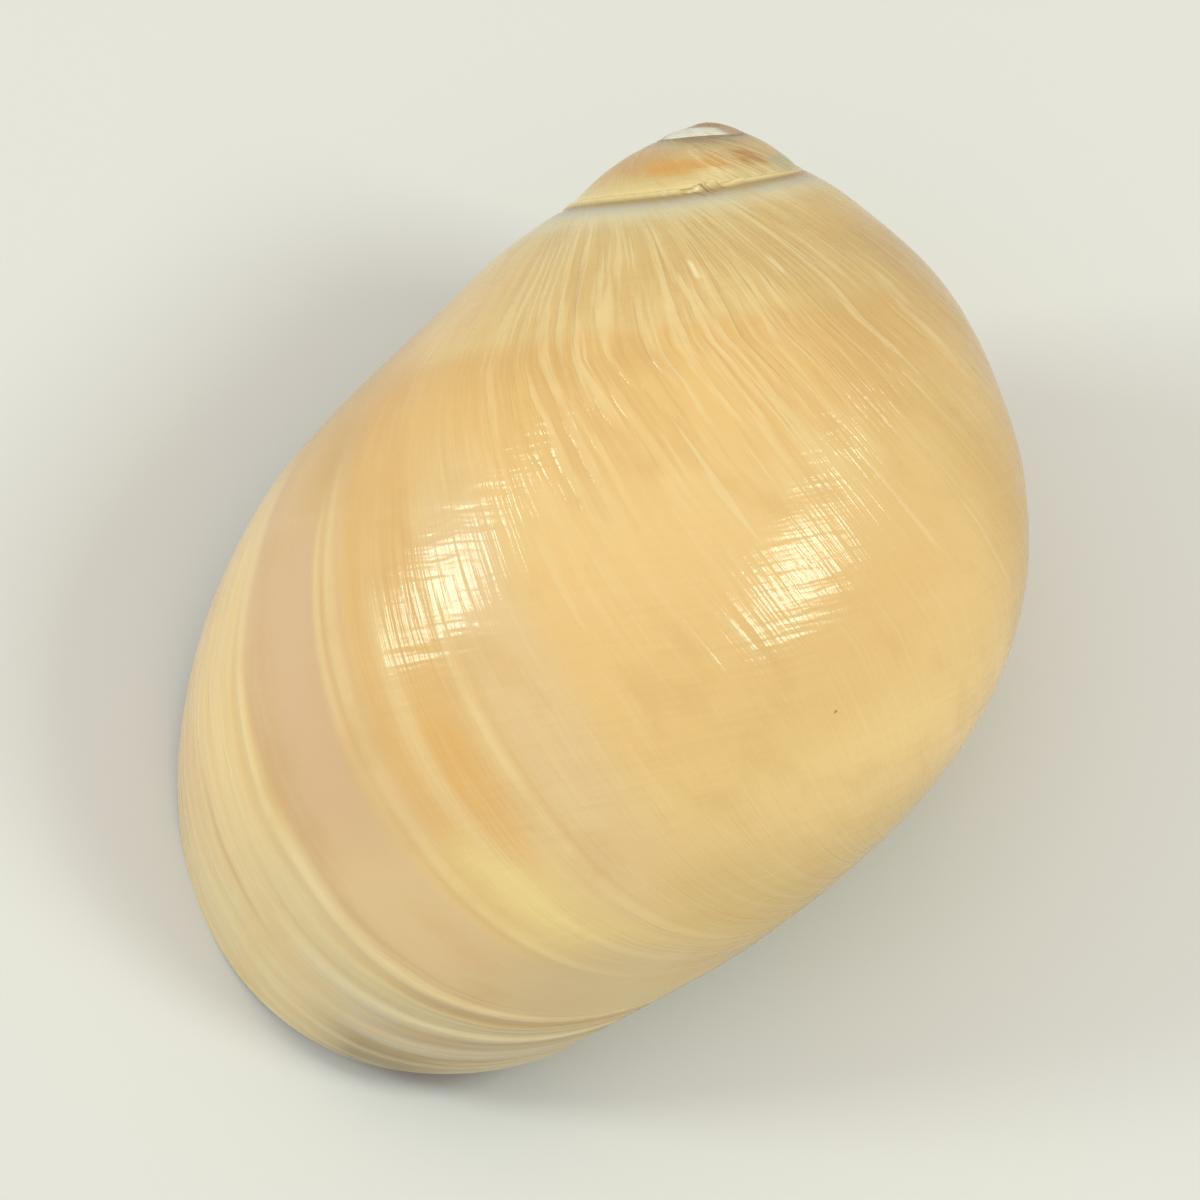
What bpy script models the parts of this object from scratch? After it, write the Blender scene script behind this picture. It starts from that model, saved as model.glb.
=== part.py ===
"""Moon snail shell: one hollow shell, grown along a widening spiral and lying on its mouth.

The shell is described the way it grows. A point of the growing edge is given by its distance
from the coiling axis, its distance below the tip, and the angle turned about the axis. Every
turn the whole shell grows by the same ratio, so one outline of the whorl, one outline of the
hollow and one angle of the mouth describe all of it. Sizes are in metres, and the outlines are
given at turn angle zero.
"""

import math

import bmesh
import bpy
import numpy as np
from mathutils import Euler

# Growth: natural logarithm of the widening for each radian of turn.
GROWTH = 0.1632
FULL_TURN = 2 * math.pi
TURN_RATIO = math.exp(GROWTH * FULL_TURN)

# Outline of a whorl, as (distance from the axis, distance below the tip), from the shoulder
# that touches the next whorl's seam, round the widest part and the base, to the axis.
SHOULDER = (0.01028, 0.00696)
CROWN = (0.00521, 0.00337)
OUTLINE_BELOW = (
    (0.01162, 0.00889),
    (0.01255, 0.01106),
    (0.01389, 0.01530),
    (0.01420, 0.01771),
    (0.01407, 0.02042),
    (0.01328, 0.02338),
    (0.01160, 0.02637),
    (0.00830, 0.02919),
    (0.00500, 0.03020),
    (0.00230, 0.02995),
    (0.00000, 0.02930),
)
BASE_POINT = (0.00830, 0.02919)
SECTION_CENTRE = (0.00521, 0.01530)

# The mouth lies in one plane: its normal across, along and through the coil, and its place.
MOUTH_NORMAL = (-0.281, 0.443, 0.851)
MOUTH_PLACE = -0.00827
MOUTH_TURNS = (0.8, 6.0)
MOUTH_TRIES = 1200

# Places where the whorl is flatter than the rule: depth, turn angle and its reach, angle round
# the section and its reach.
FLATS = (
    (0.114, 3.35, 1.24, 1.07, 0.48),
    (0.031, 0.05, 0.96, 0.94, 0.43),
)
FLAT_FADE = (1.69, 1.35)

# The hollow inside the whorl, from its upper corner round the outer wall and back up the pillar.
HOLLOW = (
    (0.00455, 0.00335),
    (0.00690, 0.00490),
    (0.00920, 0.00680),
    (0.01090, 0.00900),
    (0.01200, 0.01140),
    (0.01295, 0.01400),
    (0.01350, 0.01650),
    (0.01360, 0.01900),
    (0.01310, 0.02180),
    (0.01190, 0.02470),
    (0.01040, 0.02670),
    (0.00900, 0.02775),
    (0.00800, 0.02620),
    (0.00730, 0.02360),
    (0.00675, 0.02050),
    (0.00635, 0.01700),
    (0.00600, 0.01320),
    (0.00580, 0.00960),
    (0.00550, 0.00690),
    (0.00505, 0.00480),
)
HOLLOW_FOOT = 11
HOLLOW_CENTRE = (0.0105, 0.0160)
HOLLOW_TRIES = 400
CATCH_UP = 0.0016

# The inner lip, from the seam down to the base, as outline points in the plane of the mouth.
INNER_LIP = (
    (0.00397, 0.00280),
    (0.00426, 0.00317),
    (0.00458, 0.00385),
    (0.00510, 0.00549),
    (0.00522, 0.00742),
    (0.00525, 0.00970),
    (0.00545, 0.01350),
    (0.00585, 0.01800),
    (0.00650, 0.02220),
    (0.00720, 0.02550),
    (0.00785, 0.02780),
)
PILLAR_INSET = 0.0016
INSET_SPREAD = 0.7

# How many steps the surface is made in.
ROWS_PER_WHORL = 36
COLUMNS_ON_SPIRE = 8
COLUMNS_BELOW = 20
BASE_RINGS = 6
LIP_RINGS = 3
CALLUS_STEPS = 3
HOLLOW_ROWS = 15
CAP_RINGS = 3

# How far the first whorls go back, how deep the hollow goes, and the roundness of the lip.
FIRST_TURN = -14.5
HOLLOW_DEPTH = 3.6
LIP_ROUND = 0.016
LIP_FADE_COLUMNS = 6
CALLUS_RISE = 0.00035
CALLUS_FULL_WIDTH = 0.002
TIP_RISE = 0.00030
BASE_FULLNESS = 1.2
BASE_FADE = 0.15
BASE_AHEAD = 0.0002

# How the shell lies on its mouth: turns about the level axes, then about the upright one.
REST_TURNS = (math.radians(34.8), math.radians(-0.4), math.radians(-0.3))

SHELL_COLOUR = (0.82, 0.58, 0.28, 1.0)
SHELL_ROUGHNESS = 0.22


def clear_scene():
    """Remove whatever is in the scene."""
    for old in list(bpy.data.objects):
        bpy.data.objects.remove(old, do_unlink=True)


def smooth_through(knots, values, wanted):
    """Natural cubic curve through the values at the knots, read at the wanted places."""
    knots = np.asarray(knots, float)
    values = np.asarray(values, float)
    wanted = np.asarray(wanted, float)
    gaps = np.diff(knots)
    slopes = np.diff(values, axis=0) / gaps[:, None]
    matrix = np.eye(len(knots))
    right = np.zeros_like(values)
    for i in range(1, len(knots) - 1):
        matrix[i, i - 1] = gaps[i - 1]
        matrix[i, i] = 2 * (gaps[i - 1] + gaps[i])
        matrix[i, i + 1] = gaps[i]
        right[i] = 6 * (slopes[i] - slopes[i - 1])
    bend = np.linalg.solve(matrix, right)
    span = np.clip(np.searchsorted(knots, wanted, side="right") - 1, 0, len(gaps) - 1)
    gap = gaps[span][:, None]
    after = (wanted - knots[span])[:, None]
    before = gap - after
    cubic = (bend[span] * before**3 + bend[span + 1] * after**3) / (6 * gap)
    line = (values[span] / gap - bend[span] * gap / 6) * before
    return cubic + line + (values[span + 1] / gap - bend[span + 1] * gap / 6) * after


def lengths_along(points):
    """Distance along a line of points, from its first."""
    steps = np.linalg.norm(np.diff(np.asarray(points), axis=0), axis=1)
    return np.concatenate([[0.0], np.cumsum(steps)])


def whorl_columns():
    """Section points from the seam to the base, and the base's last point with its direction."""
    seam = (SHOULDER[0] / TURN_RATIO, SHOULDER[1] / TURN_RATIO)
    points = np.array((seam, CROWN, SHOULDER, *OUTLINE_BELOW))
    knots = lengths_along(points)
    shoulder_at = knots[2]
    base_at = knots[3 + OUTLINE_BELOW.index(BASE_POINT)]
    upper = np.linspace(0.0, shoulder_at, COLUMNS_ON_SPIRE + 1)
    lower = np.linspace(shoulder_at, base_at, COLUMNS_BELOW + 1)
    outer = smooth_through(knots, points, np.concatenate([upper, lower[1:]]))
    ahead = smooth_through(knots, points, [base_at, base_at + BASE_AHEAD])
    return outer, (ahead[0], ahead[1] - ahead[0])


def mouth_turn(section):
    """Turn angle at which each section point meets the plane of the mouth."""
    across, along, through = MOUTH_NORMAL
    turns = np.linspace(*MOUTH_TURNS, MOUTH_TRIES)
    out = across * np.cos(turns) + through * np.sin(turns)
    found = np.full(len(section), np.nan)
    for i, (far, down) in enumerate(section):
        height = np.exp(GROWTH * turns) * (far * out - down * along) - MOUTH_PLACE
        crossing = np.nonzero((height[:-1] > 0) & (height[1:] <= 0))[0]
        if len(crossing):
            k = crossing[0]
            share = height[k] / (height[k] - height[k + 1])
            found[i] = turns[k] + share * (turns[k + 1] - turns[k])
    return found


def flattened(section, turn):
    """Section points moved in where the whorl is flatter than the rule."""
    centre = np.array(SECTION_CENTRE)
    out = section - centre
    angle = np.arctan2(-out[..., 1], out[..., 0])
    fade = np.clip((FLAT_FADE[0] - angle) / (FLAT_FADE[0] - FLAT_FADE[1]), 0.0, 1.0)
    fade = fade * fade * (3 - 2 * fade)
    amount = np.zeros_like(angle)
    for depth, turn_at, turn_reach, angle_at, angle_reach in FLATS:
        away = ((turn - turn_at) / turn_reach) ** 2 + ((angle - angle_at) / angle_reach) ** 2
        amount = amount - depth * np.exp(-away)
    return centre + out * np.exp(amount * fade)[..., None]


def place(section, turn):
    """Points in space for section points at their turn angles. The tip is at the origin, up."""
    turn = np.broadcast_to(turn, section.shape[:-1])
    shaped = flattened(section, turn) * np.exp(GROWTH * turn)[..., None]
    far = shaped[..., 0]
    return np.stack([far * np.cos(turn), -shaped[..., 1], far * np.sin(turn)], axis=-1)


def inner_lip_section(outer):
    """Section points of the inner lip, level with the points that it borders on."""
    points = np.array((outer[0], *INNER_LIP, outer[-1]))
    crossed_down = outer[COLUMNS_ON_SPIRE:, 1] / TURN_RATIO
    share = np.arange(ROWS_PER_WHORL - 1, -1, -1) / ROWS_PER_WHORL
    pillar_down = outer[-1, 1] * TURN_RATIO ** -share
    return smooth_through(points[:, 1], points, np.concatenate([crossed_down, pillar_down]))


def hollow_loop(outer_count, lip_down):
    """The hollow's outline, with as many points as the mouth has, level with the inner lip's."""
    points = np.array(HOLLOW)
    wrapped = np.concatenate([points[-3:], points, points[:3]])
    knots = lengths_along(wrapped)
    corner, foot, end = knots[3], knots[3 + HOLLOW_FOOT], knots[3 + len(points)]
    outer = np.linspace(corner, foot, outer_count + 1)
    fine = np.linspace(end, foot, HOLLOW_TRIES)
    fine_down = smooth_through(knots, wrapped, fine)[:, 1]
    from_corner = np.exp((lip_down[0] - lip_down) / CATCH_UP)
    from_foot = np.exp((lip_down - lip_down[-1]) / CATCH_UP)
    level = lip_down + (fine_down[0] - lip_down[0]) * from_corner
    level = level + (fine_down[-1] - lip_down[-1]) * from_foot
    inner = np.interp(level, fine_down, fine)[::-1]
    return smooth_through(knots, wrapped, np.concatenate([outer, inner[1:-1]]))


class Surface:
    """Points and faces gathered for one mesh."""

    def __init__(self):
        self.points = []
        self.faces = []

    def add(self, points):
        """Add points and give back their numbers."""
        first = len(self.points)
        self.points.extend(tuple(point) for point in points)
        return list(range(first, len(self.points)))

    def strip(self, left, right):
        """Join two lines of point numbers, leaving out corners that they share."""
        for i in range(len(left) - 1):
            corners = [left[i], left[i + 1], right[i + 1], right[i]]
            kept = list(dict.fromkeys(corners))
            if len(kept) > 2:
                self.faces.append(kept)

    def close(self, loop, middle, rings):
        """Close a loop of point numbers with rings that shrink to a middle point."""
        edge = np.array([self.points[i] for i in loop])
        previous = loop
        for ring in range(1, rings):
            share = ring / rings
            lift = math.sin(share * math.pi / 2)
            flat_middle = edge.mean(axis=0)
            points = flat_middle + (edge - flat_middle) * math.cos(share * math.pi / 2)
            current = self.add(points + (middle - flat_middle) * lift)
            self.strip(previous + previous[:1], current + current[:1])
            previous = current
        top = self.add([middle])[0]
        for i, number in enumerate(previous):
            self.faces.append([number, previous[(i + 1) % len(previous)], top])


def grow_outside(surface, outer, lag):
    """The outer surface, as rows of point numbers from the lip back to the first whorl."""
    whorl_turn = FULL_TURN + lag[COLUMNS_ON_SPIRE] - lag[0]
    step = whorl_turn / ROWS_PER_WHORL
    count = int((lag[0] - FIRST_TURN) / step)
    rows = []
    for i in range(count + 1):
        last = len(outer) if i <= ROWS_PER_WHORL else COLUMNS_ON_SPIRE + 1
        rows.append(surface.add(place(outer[1:last], lag[1:last] - i * step)))
    seams = [rows[i + ROWS_PER_WHORL][COLUMNS_ON_SPIRE - 1] for i in range(count + 1 - ROWS_PER_WHORL)]
    first = range(count + 1 - ROWS_PER_WHORL, count + 1)
    seams += [surface.add(place(outer[:1], lag[:1] - i * step))[0] for i in first]
    rows = [[seam, *row] for seam, row in zip(seams, rows)]
    for before, after in zip(rows[:-1], rows[1:]):
        shared = min(len(before), len(after))
        surface.strip(before[:shared], after[:shared])
    return rows, step


def cap_tip(surface, rows):
    """Close the first whorl with a small dome."""
    seam_line = [row[0] for row in rows[len(rows) - ROWS_PER_WHORL :]]
    loop = seam_line + rows[-1][1:]
    edge = np.array([surface.points[i] for i in loop])
    surface.close(loop, edge.mean(axis=0) + np.array([0.0, TIP_RISE, 0.0]), CAP_RINGS)


def cover_base(surface, rows, edge_section, edge_turn, step):
    """Fill the navel: a smooth pad from the edge of the base across to the inner lip's side."""
    share = np.arange(ROWS_PER_WHORL + 1) / ROWS_PER_WHORL
    turns = edge_turn - share * step * ROWS_PER_WHORL
    beyond = edge_turn + share * (FULL_TURN - step * ROWS_PER_WHORL)
    section, inward = edge_section
    near = place(np.tile(section, (len(share), 1)), turns)
    run = place(np.tile(section + inward, (len(share), 1)), turns) - near
    pillar = section * TURN_RATIO ** -share[:, None]
    pillar[:, 0] -= PILLAR_INSET * np.sin(np.pi * share) ** INSET_SPREAD
    far = place(pillar, beyond)
    width = np.linalg.norm(far - near, axis=1, keepdims=True)
    fullness = BASE_FULLNESS * np.clip(share / BASE_FADE, 0.0, 1.0)[:, None]
    run = run / np.maximum(np.linalg.norm(run, axis=1, keepdims=True), 1e-9)
    left = [row[-1] for row in rows[: ROWS_PER_WHORL + 1]]
    right = [left[0], *surface.add(far[1:-1]), left[-1]]
    previous = left
    for ring in range(1, BASE_RINGS):
        u = ring / BASE_RINGS
        points = (
            near * (2 * u**3 - 3 * u**2 + 1)
            + far * (3 * u**2 - 2 * u**3)
            + run * width * fullness * (u**3 - 2 * u**2 + u)
            + (far - near) * (u**3 - u**2)
        )
        current = [left[0], *surface.add(points[1:-1]), left[-1]]
        surface.strip(previous, current)
        previous = current
    surface.strip(previous, right)
    return right


def coat_inner_lip(surface, lip, lip_section, lip_turn, border):
    """The smooth glaze between the inner lip and the whorl that it lies on."""
    lip_points = place(lip_section, lip_turn)
    border_points = np.array([surface.points[i] for i in border])
    across = border_points - lip_points
    rise = np.cross(np.gradient(lip_points, axis=0), across)
    length = np.linalg.norm(rise, axis=1, keepdims=True)
    rise = rise / np.maximum(length, 1e-9)
    previous = lip
    for i in range(1, CALLUS_STEPS):
        share = i / CALLUS_STEPS
        lift = CALLUS_RISE * math.sin(share * math.pi)
        width = np.minimum(np.linalg.norm(across, axis=1, keepdims=True) / CALLUS_FULL_WIDTH, 1.0)
        middle = lip_points + across * share + rise * lift * width
        current = [lip[0], *surface.add(middle[1:-1]), lip[-1]]
        surface.strip(previous, current)
        previous = current
    surface.strip(previous, border)


def hollow_inside(surface, mouth, mouth_section, mouth_turns, loop, outer_count):
    """Round the lip over, then carry the hollow back along the spiral to a closed end."""
    from_corner = np.arange(len(mouth))
    to_corner = np.abs(outer_count - from_corner)
    rounding = np.clip(np.minimum(from_corner, to_corner) / LIP_FADE_COLUMNS, 0.0, 1.0)
    rounding = LIP_ROUND * np.where(from_corner < outer_count, rounding, 0.0)
    previous = mouth
    for i in range(1, LIP_RINGS + 1):
        share = i / LIP_RINGS
        across = (1 - math.cos(share * math.pi)) / 2
        forward = rounding * math.sin(share * math.pi)
        section = mouth_section + (loop - mouth_section) * across
        current = surface.add(place(section, mouth_turns + forward))
        surface.strip(previous + previous[:1], current + current[:1])
        previous = current
    for i in range(1, HOLLOW_ROWS + 1):
        share = i / HOLLOW_ROWS
        turns = mouth_turns + (mouth_turns.mean() - mouth_turns) * share - HOLLOW_DEPTH * share
        current = surface.add(place(loop, turns))
        surface.strip(previous + previous[:1], current + current[:1])
        previous = current
    end = place(np.array([HOLLOW_CENTRE]), mouth_turns.mean() - HOLLOW_DEPTH)
    surface.close(previous, end[0], 1)


def shell_surface():
    """The whole shell as one closed surface, its tip up and at the origin."""
    outer, inner = whorl_columns()
    lag = mouth_turn(outer)
    surface = Surface()
    rows, step = grow_outside(surface, outer, lag)
    cap_tip(surface, rows)
    pillar = cover_base(surface, rows, inner, lag[-1], step)
    crossed = rows[ROWS_PER_WHORL][COLUMNS_ON_SPIRE:]
    border = crossed + pillar[::-1][1:]
    lip_section = inner_lip_section(outer)
    lip_turn = mouth_turn(lip_section)
    inner_points = surface.add(place(lip_section[1:-1], lip_turn[1:-1]))
    lip = [border[0], *inner_points, border[-1]]
    coat_inner_lip(surface, lip, lip_section, lip_turn, border)
    mouth = rows[0] + lip[::-1][1:-1]
    mouth_section = np.concatenate([outer, lip_section[::-1][1:-1]])
    mouth_turns = np.concatenate([lag, lip_turn[::-1][1:-1]])
    loop = hollow_loop(len(outer) - 1, lip_section[:, 1])
    hollow_inside(surface, mouth, mouth_section, mouth_turns, loop, len(outer) - 1)
    return surface


def shell_material():
    """Warm golden glaze, smooth and glossy."""
    material = bpy.data.materials.new("golden_shell")
    material.use_nodes = True
    base = material.node_tree.nodes["Principled BSDF"]
    base.inputs["Base Color"].default_value = SHELL_COLOUR
    base.inputs["Roughness"].default_value = SHELL_ROUGHNESS
    base.inputs["Metallic"].default_value = 0.0
    return material


def lay_down(shell):
    """Turn the shell onto its mouth, with its lowest point on the ground and its middle over it."""
    turned = Euler(REST_TURNS, "XYZ").to_matrix()
    points = np.array([turned @ vertex.co for vertex in shell.data.vertices])
    low = points.min(axis=0)
    high = points.max(axis=0)
    shell.rotation_euler = REST_TURNS
    shell.location = (-(low[0] + high[0]) / 2, -(low[1] + high[1]) / 2, -low[2])


def build_shell():
    """Make the shell's object and lay it on its mouth."""
    surface = shell_surface()
    mesh = bpy.data.meshes.new("shell")
    mesh.from_pydata(surface.points, [], surface.faces)
    shaped = bmesh.new()
    shaped.from_mesh(mesh)
    bmesh.ops.recalc_face_normals(shaped, faces=shaped.faces)
    shaped.to_mesh(mesh)
    shaped.free()
    mesh.shade_smooth()
    mesh.materials.append(shell_material())
    shell = bpy.data.objects.new("shell", mesh)
    bpy.context.scene.collection.objects.link(shell)
    lay_down(shell)


clear_scene()
build_shell()
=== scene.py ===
"""Moon snail shell lying on its mouth, on a pale floor under two soft square lamps.

The shell is grown, not carved: one outline of the whorl turns round the coiling axis and widens
by the same ratio every turn. A point of the surface is known by its age, the angle in radians that
the shell has grown round its axis since then, and by its section, the share of the way down the
whorl from the seam to the base. Every ridge, stripe and stain follows those two, as it does on a
real shell. Turn angles are in radians too.
"""

import logging
import math
from dataclasses import dataclass, field
from enum import Enum
from typing import Sequence

import bpy
import numpy as np
from mathutils import Euler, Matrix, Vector


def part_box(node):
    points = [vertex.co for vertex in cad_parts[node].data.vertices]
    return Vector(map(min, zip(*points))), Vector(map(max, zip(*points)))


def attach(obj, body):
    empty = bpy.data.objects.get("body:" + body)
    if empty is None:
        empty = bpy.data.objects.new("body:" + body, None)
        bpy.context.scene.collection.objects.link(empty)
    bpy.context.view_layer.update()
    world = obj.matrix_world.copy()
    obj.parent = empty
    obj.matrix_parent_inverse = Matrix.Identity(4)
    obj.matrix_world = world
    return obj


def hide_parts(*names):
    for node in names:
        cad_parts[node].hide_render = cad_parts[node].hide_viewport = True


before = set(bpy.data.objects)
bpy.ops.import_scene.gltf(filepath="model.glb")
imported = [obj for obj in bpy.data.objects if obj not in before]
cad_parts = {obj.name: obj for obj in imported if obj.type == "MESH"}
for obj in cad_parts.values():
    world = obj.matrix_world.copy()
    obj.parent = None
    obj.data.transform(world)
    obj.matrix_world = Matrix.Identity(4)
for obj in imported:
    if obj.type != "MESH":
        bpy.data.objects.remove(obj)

LOG = logging.getLogger("moon_snail_shell")

FULL_TURN = 2 * math.pi
SMALLEST_LENGTH = 1e-12
WANDER_TABLE = (2048, 64)
PLACE_NAME = "shell_place"
# Corner attribute of ridge and furrow heights, which tints crests paler and furrows darker: partly own
# tone, partly painted light and shade.
RIDGE_TONE_AND_SHADE_NAME = "shell_ridge_tone_and_shade"

Colour = tuple[int, int, int]
Light = tuple[float, float, float]
Span = tuple[float, float]
Outline = tuple[Span, ...]


class Finish(Enum):
    """Which glaze a face of the shell wears. The value is its place among the materials."""

    OUTSIDE = 0
    PORCELAIN = 1


class Seed(Enum):
    """Which random values a wandering effect draws."""

    STREAKS = 3
    CORD = 5
    FINE_CORD = 6
    WAVES = 11
    RIDGES = 17


@dataclass(frozen=True)
class Screen:
    """The curve by which a screen turns the 0 to 255 parts of a colour into light."""

    full: int = 255
    foot: float = 0.04045
    foot_slope: float = 12.92
    offset: float = 0.055
    power: float = 2.4

    def light(self, colour: Colour) -> Light:
        """A colour in the even steps of light that shaders mix.

        Args:
            colour: Its red, green and blue parts, from 0 to 255.

        Returns:
            The same colour in linear light.
        """
        parts = []
        for part in colour:
            share = part / self.full
            low = share / self.foot_slope
            high = ((share + self.offset) / (1 + self.offset)) ** self.power
            parts.append(low if share <= self.foot else high)
        return (parts[0], parts[1], parts[2])


SCREEN = Screen()


def smooth_through(knots: np.ndarray, values: np.ndarray, wanted: np.ndarray) -> np.ndarray:
    """Read a natural cubic curve through values at knots.

    Args:
        knots: Rising places of the known values.
        values: One row of values for each knot.
        wanted: Places to read.

    Returns:
        One row of values for each wanted place.
    """
    gaps = np.diff(knots)
    slopes = np.diff(values, axis=0) / gaps[:, None]
    matrix = np.eye(len(knots))
    right = np.zeros_like(values)
    for i in range(1, len(knots) - 1):
        matrix[i, i - 1] = gaps[i - 1]
        matrix[i, i] = 2 * (gaps[i - 1] + gaps[i])
        matrix[i, i + 1] = gaps[i]
        right[i] = 6 * (slopes[i] - slopes[i - 1])
    bend = np.linalg.solve(matrix, right)
    span = np.clip(np.searchsorted(knots, wanted, side="right") - 1, 0, len(gaps) - 1)
    gap = gaps[span][:, None]
    after = (wanted - knots[span])[:, None]
    before = gap - after
    cubic = (bend[span] * before**3 + bend[span + 1] * after**3) / (6 * gap)
    line = (values[span] / gap - bend[span] * gap / 6) * before
    return cubic + line + (values[span + 1] / gap - bend[span + 1] * gap / 6) * after


def lengths_along(points: np.ndarray) -> np.ndarray:
    """Distance along a line of points, from its first."""
    steps = np.linalg.norm(np.diff(points, axis=0), axis=1)
    return np.concatenate([[0.0], np.cumsum(steps)])


def eased(value: np.ndarray, low: float, high: float) -> np.ndarray:
    """Rise smoothly from 0 at low to 1 at high.

    Args:
        value: Values to ease.
        low: Where the rise starts.
        high: Where it ends.

    Returns:
        Shares from 0 to 1.
    """
    share = np.clip((value - low) / (high - low), 0.0, 1.0)
    return share * share * (3 - 2 * share)


def bell(value: np.ndarray, middle: float, width: float) -> np.ndarray:
    """Rise to 1 at the middle and fall off smoothly within a few widths."""
    return np.exp(-(((value - middle) / width) ** 2))


def unit(vectors: np.ndarray) -> np.ndarray:
    """Vectors of the same directions with length one."""
    lengths = np.linalg.norm(vectors, axis=-1, keepdims=True)
    return vectors / np.maximum(lengths, SMALLEST_LENGTH)


def wandering(along: np.ndarray, across: np.ndarray, cell: Span, seed: Seed) -> np.ndarray:
    """Smooth random values over a plane, the same ones each run.

    Args:
        along: Places in the first direction.
        across: Places in the second direction.
        cell: Distance from one random value to the next in each direction.
        seed: Which random values to use.

    Returns:
        Values from -1 to 1.
    """
    values = np.random.RandomState(seed.value).uniform(-1.0, 1.0, WANDER_TABLE)
    along, across = np.broadcast_arrays(along, across)
    rows, columns = along / cell[0], across / cell[1]
    row, column = np.floor(rows).astype(int), np.floor(columns).astype(int)
    down, over = eased(rows - row, 0.0, 1.0), eased(columns - column, 0.0, 1.0)
    near, far = row % len(values), (row + 1) % len(values)
    left, right = column % values.shape[1], (column + 1) % values.shape[1]
    first = values[near, left] * (1 - over) + values[near, right] * over
    second = values[far, left] * (1 - over) + values[far, right] * over
    return first * (1 - down) + second * down


def placed(name: str, data: bpy.types.ID) -> bpy.types.Object:
    """Make an object of a mesh, a lamp or a camera, and link it to the scene.

    Args:
        name: Name of the object.
        data: What it shows.

    Returns:
        The object.
    """
    made = bpy.data.objects.new(name, data)
    bpy.context.scene.collection.objects.link(made)
    return made


@dataclass(frozen=True)
class Flat:
    """A place where the whorl is flatter than the rule: its turn angle, and its angle in the section."""

    depth: float
    turn: float
    turn_reach: float
    angle: float
    angle_reach: float


@dataclass(frozen=True)
class Coil:
    """The spiral that the whole shell follows.

    Points come in as sections: distance from the coiling axis and distance below the tip, at
    turn angle zero. They grow as they turn.
    """

    growth: float = 0.1632
    section_centre: Span = (0.00521, 0.01530)
    flats: tuple[Flat, ...] = (
        Flat(0.114, 3.35, 1.24, 1.07, 0.48),
        Flat(0.031, 0.05, 0.96, 0.94, 0.43),
    )
    flat_fade: Span = (1.69, 1.35)
    mouth_normal: tuple[float, float, float] = (-0.281, 0.443, 0.851)
    mouth_place: float = -0.00827
    mouth_turns: Span = (0.8, 6.0)
    mouth_tries: int = 1200
    tip_bluntness: float = 0.00052
    spire_lift: float = 0.00020
    spire_lift_at: Span = (0.0013, 0.0008)

    @property
    def ratio(self) -> float:
        """How much larger each whorl is than the one before."""
        return math.exp(self.growth * FULL_TURN)

    def size_at(self, turn: np.ndarray) -> np.ndarray:
        """Size of the shell at turn angles, against that at turn angle zero."""
        return np.exp(self.growth * turn)

    def flattened(self, section: np.ndarray, turn: np.ndarray) -> np.ndarray:
        """Move section points in where the whorl is flatter than the rule.

        Args:
            section: Section points.
            turn: Their turn angles.

        Returns:
            The moved section points.
        """
        centre = np.array(self.section_centre)
        out = section - centre
        angle = np.arctan2(-out[..., 1], out[..., 0])
        start, end = self.flat_fade
        fade = eased(-angle, -start, -end)
        amount = np.zeros_like(angle)
        for flat in self.flats:
            turned = (turn - flat.turn) / flat.turn_reach
            tilted = (angle - flat.angle) / flat.angle_reach
            amount = amount - flat.depth * np.exp(-(turned**2 + tilted**2))
        return centre + out * np.exp(amount * fade)[..., None]

    def place(self, section: np.ndarray, turn: np.ndarray) -> np.ndarray:
        """Place section points in space, with the tip up and at the origin.

        Args:
            section: Section points.
            turn: Their turn angles.

        Returns:
            Points in space.
        """
        turn = np.broadcast_to(turn, section.shape[:-1])
        shaped = self.flattened(section, turn) * self.size_at(turn)[..., None]
        far = shaped[..., 0]
        down = np.hypot(shaped[..., 1], self.tip_bluntness)
        down = down - self.spire_lift * bell(shaped[..., 1], *self.spire_lift_at)
        return np.stack([far * np.cos(turn), -down, far * np.sin(turn)], axis=-1)

    def mouth_turn(self, section: np.ndarray) -> np.ndarray:
        """Find where section points meet the plane of the mouth.

        Args:
            section: Section points.

        Returns:
            Their turn angles in that plane.
        """
        across, along, through = self.mouth_normal
        turns = np.linspace(*self.mouth_turns, self.mouth_tries)
        out = across * np.cos(turns) + through * np.sin(turns)
        size = self.size_at(turns)
        found = np.zeros(len(section))
        for i, (far, down) in enumerate(section):
            height = size * (far * out - down * along) - self.mouth_place
            k = np.nonzero((height[:-1] > 0) & (height[1:] <= 0))[0][0]
            share = height[k] / (height[k] - height[k + 1])
            found[i] = turns[k] + share * (turns[k + 1] - turns[k])
        return found


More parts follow.
